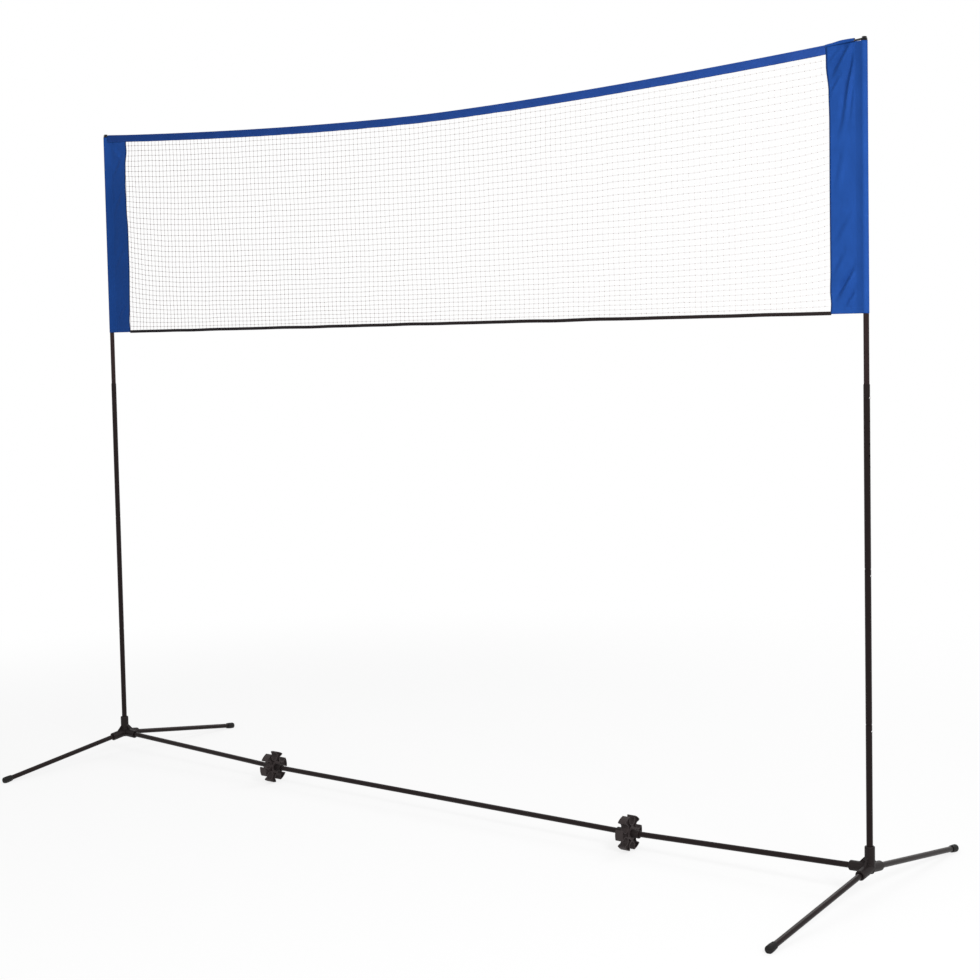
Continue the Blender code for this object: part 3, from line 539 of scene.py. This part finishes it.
clip_plastic = moulded("clip_plastic", (0.027, 0.0215, 0.0215), (0.048, 0.0395, 0.0395),
                       rough=0.46, grain_depth=0.00009)
lobes, disc_radius, disc_half, disc_web_half, disc_wall = 6, 0.051, 0.0125, 0.0065, 0.0030
disc_bore, past_disc = 0.0104, 0.02
pocket_ring, pocket_radius, mouth_half = 0.0370, 0.0115, 0.0100
head_edge, head_corner = 0.0022, 0.045      # cut off a head's ends, and off its rim as an angle
hollow_foot, hollow_end = 0.0195, math.radians(167)
lobe_angle = math.tau / lobes
rim = []
head_half = lobe_angle / 2 - math.asin(mouth_half / disc_radius) - head_corner
mouth_turn = math.asin(mouth_half / pocket_radius)
mouth_reach = disc_radius * math.cos(head_corner) - head_edge
for lobe in range(lobes):
    middle = lobe * lobe_angle
    rim += arc(0, 0, disc_radius, middle - head_half, middle + head_half, 14)
    notch = [(mouth_reach, -mouth_half),
             *arc(pocket_ring, 0, pocket_radius, -mouth_turn, mouth_turn - math.tau, 26),
             (mouth_reach, mouth_half)]
    rim += [tuple(Matrix.Rotation(middle + lobe_angle / 2, 2) @ Vector(spot)) for spot in notch]
hollow_head, pocket_wall = disc_radius - disc_wall, pocket_radius + disc_wall
hollow_half = lobe_angle / 2 - math.asin((mouth_half + disc_wall) / hollow_head)
flank = []
for x, y in arc(0, 0, pocket_wall, -math.asin((mouth_half + disc_wall) / pocket_wall), -hollow_end, 16):
    spot = Matrix.Rotation(lobe_angle / 2, 2) @ Vector((pocket_ring + x, y))
    if spot.length > hollow_foot and spot.y > 0.0006:
        flank.append(tuple(spot))
foot_half = flank[-1][1] * 0.8
hollow = arc(0, 0, hollow_head, -hollow_half, hollow_half, 10) + flank
hollow += [(hollow_foot, foot_half), (hollow_foot, -foot_half)] + [(x, -y) for x, y in reversed(flank)]
for side, sign, turn in (("left", -1, 20), ("right", 1, 32)):
    place = along(coupler_at(sign), (1, 0, 0))
    spun = place @ Matrix.Rotation(math.pi / 2 - math.radians(turn), 4, "Z")
    shape = prism(rim, -disc_half, disc_half)
    shape.transform(spun)
    disc = carry(f"{side}_disc_moulded", shape, clip_plastic, f"{side}_clip_disc", "clip_plastic",
                 f"{side}_clip_disc")
    hollows = bmesh.new()
    for lobe in range(lobes):
        for low, high in ((-past_disc, -disc_web_half), (disc_web_half, past_disc)):
            add_shape(hollows, prism(hollow, low, high),
                      spun @ Matrix.Rotation(lobe * lobe_angle, 4, "Z"))
    bore = turned([(0, past_disc), (disc_bore, past_disc), (disc_bore, -past_disc), (0, -past_disc)])
    add_shape(hollows, bore, place)
    cut_away(disc, hollows)
    ease_edges(disc, width=0.00055, degrees=34)
    shade_round(disc, 34)


# Snap buttons, their hairpin springs and the cord's ferrules: plated steel, fine brushed, dulled a
# little by handling. The buttons are turned, the springs bent from strip and the ferrules pressed.
def plated(name, bright, dull, rough):
    steel = Finish(name, Metallic=1.0)
    place = steel.spot()
    brushed = steel.noise(place, 1800, 4, 0.7)
    film = steel.noise(place, 220, 3)
    return steel.wear(steel.tint(film, bright, dull), rough + brushed * 0.15,
                      steel.bump(brushed, 0.00003, 0.4))


def eased_copy(node, material, slot, edge):
    """A CAD node's own shape with its triangles merged, its edges eased and its sides shaded round."""
    bm = bmesh.new()
    bm.from_mesh(frame["nodes"][node].data)
    bmesh.ops.remove_doubles(bm, verts=bm.verts[:], dist=0.000002)
    bmesh.ops.dissolve_limit(bm, angle_limit=math.radians(0.5), verts=bm.verts[:], edges=bm.edges[:])
    piece = carry(f"{node}_finished", bm, material, frame["nodes"][node]["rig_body"], slot, node)
    ease_edges(piece, edge, 38)
    return shade_round(piece, 32)


button_steel = plated("button_steel", (0.62, 0.62, 0.63), (0.40, 0.39, 0.38), rough=0.22)
spring_steel = plated("spring_steel", (0.42, 0.42, 0.44), (0.25, 0.24, 0.24), rough=0.32)
ferrule_steel = plated("ferrule_steel", (0.16, 0.155, 0.15), (0.09, 0.085, 0.085), rough=0.34)
for side, sign in sides:
    for place, height in (("lower_joint", lower_joint), ("upper_joint", upper_joint),
                          ("height", height_pin)):
        pin = turned([(0, 0.0110), (0.0010, 0.01092), (0.0018, 0.01062), (0.0024, 0.0101),
                      (0.0026, 0.0094), (0.0026, 0.0053), (0.0034, 0.0053), (0.0034, 0.0045),
                      (0, 0.0045)], 40)
        pin.transform(along((sign * half_span, 0, height), (sign, 0, 0)))
        button = carry(f"{side}_{place}_pin", pin, button_steel, f"{side}_{place}_button",
                       "button_steel", f"{side}_{place}_button")
        shade_round(button, 40)
        spring = eased_copy(f"{side}_{place}_spring", spring_steel, "spring_steel", edge=0.00008)
        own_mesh(spring)
    eased_copy(f"{side}_cord_ferrule", ferrule_steel, "button_steel", edge=0.0002)


# Head cord: braided black cord through the top tape. Each end turns round a post cap's neck and comes
# back into the ferrule, so it is held all its way.
cord_height, cord_sag, sag_power, cord_radius = 2.2332, 0.061, 1.65, 0.0018
strand_half, loop_radius, loop_turn, loop_steps = 0.0021, 0.0061, 115, 24
ferrule_in, ferrule_out, cord_tail = 1.465, 1.475, 1.4655
plait_along, plait_round = 2600, 3800


def cord_line(x):
    """Height of the cord's centre, which sags between the post caps."""
    return cord_height - cord_sag * (1 - abs(x / half_span) ** sag_power)


braid = Finish("cord_fibre", Specular_IOR_Level=0.20, Sheen_Weight=0.10)
braid_place = braid.spot()
braid_run = braid.axis(braid_place, "X") * plait_along
plait = (braid_run + braid.axis(braid_place, "Y") * plait_round).of("SINE")
plait = plait * (braid_run - braid.axis(braid_place, "Z") * plait_round).of("SINE")
cord_fibre = braid.wear(braid.tint(abs(plait), (0.006, 0.006, 0.008), (0.019, 0.019, 0.023)),
                        0.72 + plait * 0.1, braid.bump(plait, 0.0002, 0.5))
right_end = [Vector((x, -strand_half, cord_line(x))) for x in (ferrule_in, ferrule_out)]
for step in range(loop_steps + 1):
    turn = math.radians(-loop_turn + 2 * loop_turn * step / loop_steps)
    right_end.append(Vector((half_span + loop_radius * math.cos(turn), loop_radius * math.sin(turn),
                             cord_height)))
right_end += [Vector((x, strand_half, cord_line(x))) for x in (ferrule_out, cord_tail)]
left_end = [Vector((-spot.x, -spot.y, spot.z)) for spot in reversed(right_end)]
span = [Vector((x / 50, 0, cord_line(x / 50))) for x in range(-70, 71)]
course = left_end + span + right_end
cord_curve = bpy.data.curves.new("head_cord_course", "CURVE")
cord_curve.dimensions = "3D"
cord_curve.bevel_depth = cord_radius
cord_curve.bevel_resolution = 4
cord_curve.use_fill_caps = True
cord_spline = cord_curve.splines.new("POLY")
cord_spline.points.add(len(course) - 1)
for point, spot in zip(cord_spline.points, course):
    point.co = (*spot, 1)
cord_guide = bpy.data.objects.new("head_cord_course", cord_curve)
bpy.context.scene.collection.objects.link(cord_guide)
bpy.context.view_layer.update()
drawn_cord = bmesh.new()
drawn_cord.from_mesh(cord_guide.evaluated_get(bpy.context.evaluated_depsgraph_get()).to_mesh())
bpy.data.objects.remove(cord_guide)
shade_round(carry("head_cord_braid", drawn_cord, cord_fibre, "net_assembly", "cord_fibre",
                  "head_cord"), 60)


# Side bands: plain-woven blue polyester, cut as one strip, folded round the inner post tube into a
# pocket and sewn to itself. The flat part hangs in slanting folds, and its inner edge is bound in navy
# and a little wavy.
def woven(name, deep, light, thread, seams, length=0.0, bound=0.0, top_shading=0.0):
    """Cloth on a UV map in metres. Its colour is painted paler to the right and darker to the left, as
    painted light and painted shade.
    seams are rows of stitches: (axis, place, stitch). The last argument paints the top paler at the
    left, a painted highlight, and deeper at the right, painted shade."""
    cloth = Finish(name, Specular_IOR_Level=0.09, Sheen_Weight=0.16, Sheen_Roughness=0.35,
                   Sheen_Tint=(0.08, 0.26, 0.80, 1))
    chart = cloth.node("ShaderNodeUVMap", uv_map="cut")
    u, v = cloth.axis(chart, "X"), cloth.axis(chart, "Y")
    weave = (u * (math.tau / thread)).of("SINE") * (v * (math.tau / thread)).of("SINE")
    spot = cloth.spot()
    cloudy = cloth.noise(spot, 14, 4, 0.6)
    # Painted light and shade: the colour is painted paler to the right and darker to the left, as the
    # light falls across the set.
    painted_light = cloth.ramp(cloth.axis(spot, "X"), -1.5, 1.5, end=0.5)
    # Painted highlight and painted shade at the top: paler at the left, deeper at the right.
    if top_shading:
        upper = cloth.ramp(cloth.axis(spot, "Z"), 2.00, 2.17, end=top_shading)
        painted_light = painted_light + upper * (1 - painted_light * 3)
    stretched = cloth.node("ShaderNodeVectorMath", {0: chart, 1: (60, 2600, 1)}, operation="MULTIPLY")
    slub = cloth.noise(stretched, 1, 2)
    colour = cloth.tint(painted_light + (cloudy - 0.5) * 0.5 + (slub - 0.5) * 0.2 + weave * 0.08, deep, light)
    height = weave * 0.35 + slub * 0.25
    if bound:
        edge = (u < bound) + (u > length - bound)
        colour = cloth.tint(edge, colour, tuple(0.54 * part for part in deep))
        height = height + edge * 1.2
    thread_half, pucker_half, sewn_share = 0.0004, 0.0022, 0.68
    for axis, place, stitch in seams:
        across, run = (u, v) if axis == "u" else (v, u)
        off = abs(across - place)
        stitches = (off < thread_half) * ((run / stitch).of("FRACT") < sewn_share)
        height = height + stitches * 1.6 - (off < pucker_half) * 0.5
        colour = cloth.tint(stitches * 0.6, colour, light)
    return cloth.wear(colour, 0.60 + cloudy * 0.12 - weave * 0.05, cloth.bump(height, 0.00022, 0.55))


def clamped(value):
    return max(0.0, min(1.0, value))


def ripple(depth, *place):
    """A smooth unevenness of about a depth, by a place in noise."""
    return depth * noise.noise(Vector(place))


def lengths_along(outline):
    """How far along an outline each of its points is."""
    run = [0.0]
    for (x0, y0), (x1, y1) in zip(outline, outline[1:]):
        run.append(run[-1] + math.hypot(x1 - x0, y1 - y0))
    return run


def laid_cloth(across, up, place, cut):
    """Cloth from a grid: place gives where each point hangs, and cut where it is on the flat cloth."""
    bm = bmesh.new()
    bmesh.ops.create_grid(bm, x_segments=across, y_segments=up, size=0.5)
    chart = bm.loops.layers.uv.new("cut")
    for vertex in bm.verts:
        step = round((vertex.co.x + 0.5) * across), round((vertex.co.y + 0.5) * up)
        vertex.co = place(*step)
        for loop in vertex.link_loops:
            loop[chart].uv = cut(*step)
    bmesh.ops.recalc_face_normals(bm, faces=bm.faces[:])
    return bm


def hung_cloth(name, bm, material, slot, thickness, flat, rests_on, *nodes):
    """Give laid cloth its thickness and hang it as a piece of its own."""
    piece = carry(name, bm, material, "net_assembly", slot, *nodes)
    cloth = piece.modifiers.new("cloth", "SOLIDIFY")
    cloth.thickness = thickness
    cloth.offset = 0
    piece.data.shade_smooth()


sleeve_reach, sleeve_bottom, sleeve_tall, seam_reach = 0.102, 1.533, 0.6947, 0.026
sleeve_thick, pocket_wrap, pocket_mouth, leaf_half = 0.0006, 0.0088, 60, 0.0008
flange_reach, below_cord = 0.011, {"left": 0.0030, "right": 0.0023}
leaf_steps, pocket_steps, band_levels = 40, 28, 210
leaf = [(sleeve_reach - i * (sleeve_reach - seam_reach) / leaf_steps, -leaf_half)
        for i in range(leaf_steps + 1)]
pocket = arc(leaf_half, 0, pocket_wrap, math.radians(360 - pocket_mouth), math.radians(pocket_mouth),
             pocket_steps)
strip_outline = leaf + pocket + [(reach, leaf_half) for reach, across in reversed(leaf)]
strip_cut = lengths_along(strip_outline)
strip_wide = strip_cut[-1]
stitch_length, edge_row, foot_row, head_row = 0.0032, 0.0030, 0.016, 0.0215
sleeve_seams = [("u", sleeve_reach - seam_reach), ("u", edge_row), ("v", foot_row),
                ("v", sleeve_tall - head_row), ("u", strip_wide - sleeve_reach + seam_reach),
                ("u", strip_wide - edge_row)]
# The sleeve cloth is painted with light and shade: paler to the right, and at its top a painted
# highlight at the left and painted shade at the right.
sleeve_cloth = woven("sleeve_cloth", (0.0062, 0.0440, 0.203), (0.0190, 0.0910, 0.392),
                     thread=0.0009, seams=[(*seam, stitch_length) for seam in sleeve_seams],
                     length=strip_wide, bound=0.0042, top_shading=0.34)
# A crease runs from one (reach, rise) to another, with its width and depth. Its lower side stands out.
creases = {
    "right": [((0.034, 0.706), (0.096, 0.600), 0.0110, 0.0115),
              ((0.066, 0.616), (0.106, 0.560), 0.0075, 0.0070),
              ((0.026, 0.676), (0.062, 0.516), 0.0090, 0.0100),
              ((0.058, 0.692), (0.106, 0.640), 0.0085, 0.0060),
              ((0.026, 0.610), (0.040, 0.500), 0.0075, 0.0040),
              ((0.044, 0.560), (0.080, 0.440), 0.0100, 0.0030),
              ((0.060, 0.430), (0.094, 0.310), 0.0130, 0.0030),
              ((0.027, 0.122), (0.084, 0.036), 0.0105, 0.0110),
              ((0.026, 0.060), (0.060, 0.020), 0.0080, 0.0050),
              ((0.060, 0.160), (0.100, 0.090), 0.0100, 0.0040),
              ((0.040, 0.260), (0.098, 0.170), 0.0120, 0.0032)],
    "left": [((0.030, 0.670), (0.098, 0.600), 0.0120, 0.0030),
             ((0.034, 0.550), (0.098, 0.640), 0.0120, 0.0040),
             ((0.030, 0.410), (0.096, 0.520), 0.0140, 0.0034),
             ((0.030, 0.220), (0.098, 0.320), 0.0150, 0.0034),
             ((0.040, 0.050), (0.098, 0.105), 0.0110, 0.0036)],
}
# Where the net draws a band's inner edge, as (rise, distance).
edge_pull = {
    "right": ((0.0, 0.0005), (0.025, -0.001), (0.060, 0.0012), (0.110, 0), (0.300, 0.0004), (0.500, 0),
              (0.575, 0.0015), (0.645, 0.0085), (0.700, 0.009)),
    "left": ((0.0, -0.001), (0.040, -0.004), (0.085, 0), (0.240, 0.004), (0.365, 0.0034),
             (0.430, -0.001), (0.520, -0.003), (0.590, 0), (0.640, 0.0075), (0.665, 0.006), (0.700, 0)),
}


def pulled(side, rise):
    """How far a band's inner edge is drawn towards the net at a height on it."""
    for (low, first), (high, second) in zip(edge_pull[side], edge_pull[side][1:]):
        if rise <= high:
            share = (rise - low) / (high - low)
            return first + (second - first) * share * share * (3 - 2 * share)
    return edge_pull[side][-1][1]


def relief(side, reach, rise):
    """How far the flat part stands out towards the front at a place on it."""
    across = (reach - seam_reach) / (sleeve_reach - seam_reach)
    if across <= 0:
        return 0.0
    out = ripple(0.0016, reach * 26, rise * 9, 3 if side == "left" else 7)
    out += ripple(0.0005, reach * 90, rise * 40, 5)
    for a, b, wide, deep in creases[side]:
        run = Vector(b) - Vector(a)
        spot = Vector((reach, rise)) - Vector(a)
        t = spot.dot(run) / run.length_squared
        past = max(0.0, -t, t - 1) * run.length
        off = (run.y * spot.x - run.x * spot.y) / run.length / wide
        swell = math.sin(math.pi * max(0.08, min(0.92, t)))
        out += deep * swell * off * math.exp(0.5 - off * off - (past / wide) ** 2)
    flat_top = 0.028 if side == "left" else 0.006
    return out * min(1.0, across * 6) * (1 - across ** 4) * clamped((sleeve_tall - rise) / flat_top)


def sleeve_height(side, reach):
    """A band ends just under the cap's flange, and further in under the cord."""
    under_flange = inner_top - touch_gap + max(0.0, reach - flange_reach) * 2
    under_cord = cord_line(half_span - reach) - below_cord[side]
    return min(under_flange, under_cord) - sleeve_bottom


def band_spot(side, sign, reach, across, share):
    """Where a point of a band's section hangs, at a share of the band's height."""
    rise = share * sleeve_height(side, reach)
    inward = max(0.0, (reach - seam_reach) / (sleeve_reach - seam_reach))
    far = reach + pulled(side, rise) * inward ** 2
    return sign * (half_span - far), across - relief(side, reach, rise), sleeve_bottom + rise


for side, sign in sides:
    strip = laid_cloth(len(strip_outline) - 1, band_levels,
                       lambda i, level: band_spot(side, sign, *strip_outline[i], level / band_levels),
                       lambda i, level: (strip_cut[i], level / band_levels * sleeve_tall))
    hung_cloth(f"{side}_side_band", strip, sleeve_cloth, "sleeve_cloth", sleeve_thick,
               (strip_wide, sleeve_tall), [f"{side}_inner_post_tube"], f"{side}_sleeve")

# The right band's upper edge is rolled over the cord and sewn, from the end of the tape to round the
# ferrule, and the cloth that it has to spare stands up along it.
roll_start, roll_length, roll_girth, roll_taper, roll_widening = 0.1125, 0.085, 0.0034, 0.0008, 0.0026
roll_stations, taper_stations, roll_steps, roll_from, roll_turn = 38, 8, 14, -60, 300
aside_reach, aside_run, widening_reach, widening_run = 0.100, 0.055, 0.045, 0.008
roll_thick, roll_wide, roll_spare, spare_run, roll_lean = 0.0005, 0.0210, 1.7, 0.115, 0.0006
widest_roll = roll_girth - roll_taper + roll_widening


def roll_spot(station, i):
    """Where a point of the roll lies. It follows the cord aside, then widens round the ferrule."""
    reach = roll_start - roll_length * station / roll_stations
    girth = roll_girth - roll_taper * min(1.0, station / taper_stations)
    wide = girth + roll_widening * clamped((widening_reach - reach) / widening_run)
    aside = -strand_half * clamped((aside_reach - reach) / aside_run)
    aside *= (widest_roll - wide) / roll_widening
    spare = roll_spare * math.sin(math.pi * (roll_start - reach) / spare_run)
    turn = math.radians(roll_from + roll_turn * i / roll_steps)
    upper = max(0.0, math.sin(turn))
    lean = roll_lean * spare * upper * math.sin(reach * 160)
    tall = math.sin(turn) * (1 + spare * upper)
    return (half_span - reach, aside + lean + wide * math.cos(turn),
            cord_line(half_span - reach) + girth * tall)


rolled = laid_cloth(roll_stations, roll_steps, roll_spot,
                    lambda station, i: (0.02 + station * 0.0023, 0.60 + i * 0.0013))
hung_cloth("right_band_roll", rolled, sleeve_cloth, "sleeve_cloth", roll_thick,
           (roll_length, roll_wide), ["head_cord_braid"])


# Top tape: blue polyester folded over the head cord and sewn through along its lower edge. It runs
# over the left band and opens round the ferrule there, and at the right its leaves are tucked into
# the band.
def folded_tape(name, outline, first, last, lift, material, slot, node, rests_on):
    """Sweep a tape's cross section, as (across, height) points, along the net."""
    stations, thickness = 440, 0.00055
    cut = lengths_along(outline)

    def tape_spot(station, i):
        x = first + (last - first) * station / stations
        return x, *lift(x, *outline[i])

    tape = laid_cloth(stations, len(outline) - 1, tape_spot,
                      lambda station, i: ((last - first) * station / stations, cut[i]))
    hung_cloth(name, tape, material, slot, thickness, (last - first, cut[-1]), rests_on, node)


def top_lift(x, y, z):
    """Where a point of the top tape's section lies, at a place along the net."""
    low = max(0.0, -z) / tape_drop
    sway = ripple(0.0011, x * 9, 0, 2) + ripple(0.0005, x * 40, 0, 5)
    sway *= clamped((sway_end - abs(x)) / sway_run)
    hang = ripple(0.0008, x * 16, 3, 0) + ripple(0.0003, x * 70, 9, 0)
    tuck = clamped((x - tuck_start) / tuck_run)
    thin = 1 - tuck_pinch * tuck * clamped((-z - 0.002) / 0.002)
    reach = half_span + x
    spread = clamped((spread_reach - reach) / spread_run)
    open_out = 1 + 0.95 * spread + 180 * max(0.0, opening_reach - reach) * min(1.0, low * 7)
    return (y * thin * open_out + low * sway,
            cord_line(x) + z * (1 + 0.2 * spread * (z > 0)) + low * hang)


tape_start, tape_end, sway_end, sway_run = -1.484, 1.3905, 1.395, 0.03
tuck_start, tuck_run, tuck_pinch = 1.368, 0.018, 0.85
spread_reach, spread_run, opening_reach = 0.104, 0.060, 0.026       # from the left post
tape_drop, tape_half, tape_crown = 0.0215, 0.0019, 0.0027
tape_leaf = [(-tape_half, -tape_drop + 0.0021 * i) for i in range(9)]
tape_fold = arc(0, 0, tape_crown, math.radians(225), math.radians(-45), 14)
tape_outline = tape_leaf + tape_fold + [(-y, z) for y, z in reversed(tape_leaf)]
tape_cloth = woven("tape_cloth", (0.0072, 0.0387, 0.185), (0.0300, 0.0940, 0.393),
                   thread=0.0009, seams=[("v", 0.0030, 0.0034), ("v", 0.0475, 0.0034)])
folded_tape("top_tape_cloth", tape_outline, tape_start, tape_end, top_lift, tape_cloth, "tape_cloth",
            "top_tape", ["head_cord_braid"])


# Bottom tape: narrow black woven tape, folded up over the net's lowest row and sewn through both
# leaves. It runs from band to band and hangs a little uneven between them.
def hem_lift(x, y, z):
    """Where a point of the bottom tape's section lies, at a place along the net."""
    free = 1 - (x / band_edge) ** 8
    return y + ripple(0.0016, x * 5, 1, 4) * free, hem_bottom + z + ripple(0.0012, x * 7, 8, 0) * free


band_edge, hem_end, hem_bottom = half_span - sleeve_reach, 1.3985, 1.530
hem_leaf = [(-0.0015, 0.0100 - 0.0015 * i) for i in range(6)]
hem_outline = hem_leaf + [(-0.0011, 0.0010), (0, 0.0004), (0.0011, 0.0010)]
hem_outline += [(-y, z) for y, z in reversed(hem_leaf)]
hem_cloth = woven("hem_cloth", (0.0085, 0.0060, 0.0060), (0.028, 0.0195, 0.0185),
                  thread=0.0008, seams=[("v", 0.0030, 0.0030), ("v", 0.0170, 0.0030)])
folded_tape("bottom_tape_cloth", hem_outline, -hem_end, hem_end, hem_lift, hem_cloth, "hem_cloth",
            "bottom_tape", ["net_strands_left"])


# Net: knotted twine in 18 mm squares, a millimetre thick, with a knot at each crossing painted darker
# as painted shade. It is tied into the two tapes and the side bands, and no square is quite true. The
# twine is painted darker towards the left and paler towards the right, as painted shade and painted
# light.
def twine(name, shaded_left_tone, lit_right_tone):
    line = Finish(name, Specular_IOR_Level=0.15)
    place = line.spot()
    fuzz = line.noise(place, 1500, 3, 0.7)
    lay = line.node("ShaderNodeTexWave", {"Vector": place, "Scale": 700, "Distortion": 2.0,
                                          "Detail": 2.0})
    # Painted shade and light: the tone runs from dark at the left to pale at the right.
    tone = line.tint(line.ramp(line.axis(place, "X"), -1.45, 1.5), shaded_left_tone, lit_right_tone)
    shade = 1.08 - fuzz * 0.20 - lay * 0.12
    tone = line.node("ShaderNodeVectorMath", {0: tone, "Scale": shade}, operation="SCALE")
    return line.wear(tone, 0.78 + fuzz * 0.15, line.bump(lay + fuzz, 0.0001, 0.5))


net_twine = twine("net_twine", (0.105, 0.034, 0.022), (0.92, 0.88, 0.860))
# The knots are a darker copy of the twine: painted shade in their wraps.
shaded_knot_twine = twine("shaded_knot_twine", (0.030, 0.014, 0.013), (0.56, 0.51, 0.49))
columns, rows_up, strand_thick, knot_radius = 154, 38, 0.00105, 0.00145
net_into_band, net_low, net_below_cord = 0.002, 1.536, 0.0185
net_half = band_edge + net_into_band
net_sag, sag_reach, drawn_columns, loose_squares = 0.19, 0.13, 6, 3


def net_place(column, row):
    """Where a knot lies. Rows start evenly at the bands, sag towards the bottom tape, and are never
    quite even."""
    x = -net_half + 2 * net_half * column / columns
    side = "left" if x < 0 else "right"
    up = row / rows_up
    loose = min(1.0, min(column, columns - column, row, rows_up - row) / loose_squares)
    slack = Vector((column * 0.21, row * 0.21, 0))
    z = net_low + (cord_line(x) - net_below_cord - net_low) * up
    z -= net_sag * (1 - math.exp(-(net_half - abs(x)) / sag_reach)) * up * (1 - up) ** 2
    drawn = max(0.0, 1 - min(column, columns - column) / drawn_columns) ** 2
    x += math.copysign(drawn * pulled(side, z - sleeve_bottom), -x)
    x += loose * (0.0016 * noise.noise(slack) + 0.0006 * noise.noise(slack * 9))
    z += loose * (0.0018 * noise.noise(slack + Vector((50, 0, 0)))
                  + 0.0006 * noise.noise(slack * 9 + Vector((70, 0, 0))))
    return Vector((x, loose * 0.0030 * noise.noise(slack * 0.5 + Vector((0, 90, 0))), z))


for part, first, last in (("left", 0, 51), ("middle", 51, 103), ("right", 103, columns)):
    lattice = bmesh.new()
    bmesh.ops.create_grid(lattice, x_segments=last - first, y_segments=rows_up, size=0.5)
    for vertex in lattice.verts:
        column = first + round((vertex.co.x + 0.5) * (last - first))
        vertex.co = net_place(column, round((vertex.co.y + 0.5) * rows_up))
    strands = carry(f"net_strands_{part}", lattice, net_twine, "net_assembly", "net_twine", "net_mesh")
    mesh = strands.modifiers.new("strands", "WIREFRAME")
    mesh.thickness = strand_thick
    mesh.use_even_offset = False
    mesh.use_boundary = True
    settle(strands)
    knots = bmesh.new()
    for column in range(max(first, 1), last):
        for row in range(1, rows_up):
            bmesh.ops.create_icosphere(knots, subdivisions=1, radius=knot_radius,
                                       matrix=Matrix.Translation(net_place(column, row)))
    carry(f"net_knots_{part}", knots, shaded_knot_twine, "net_assembly", "net_twine")
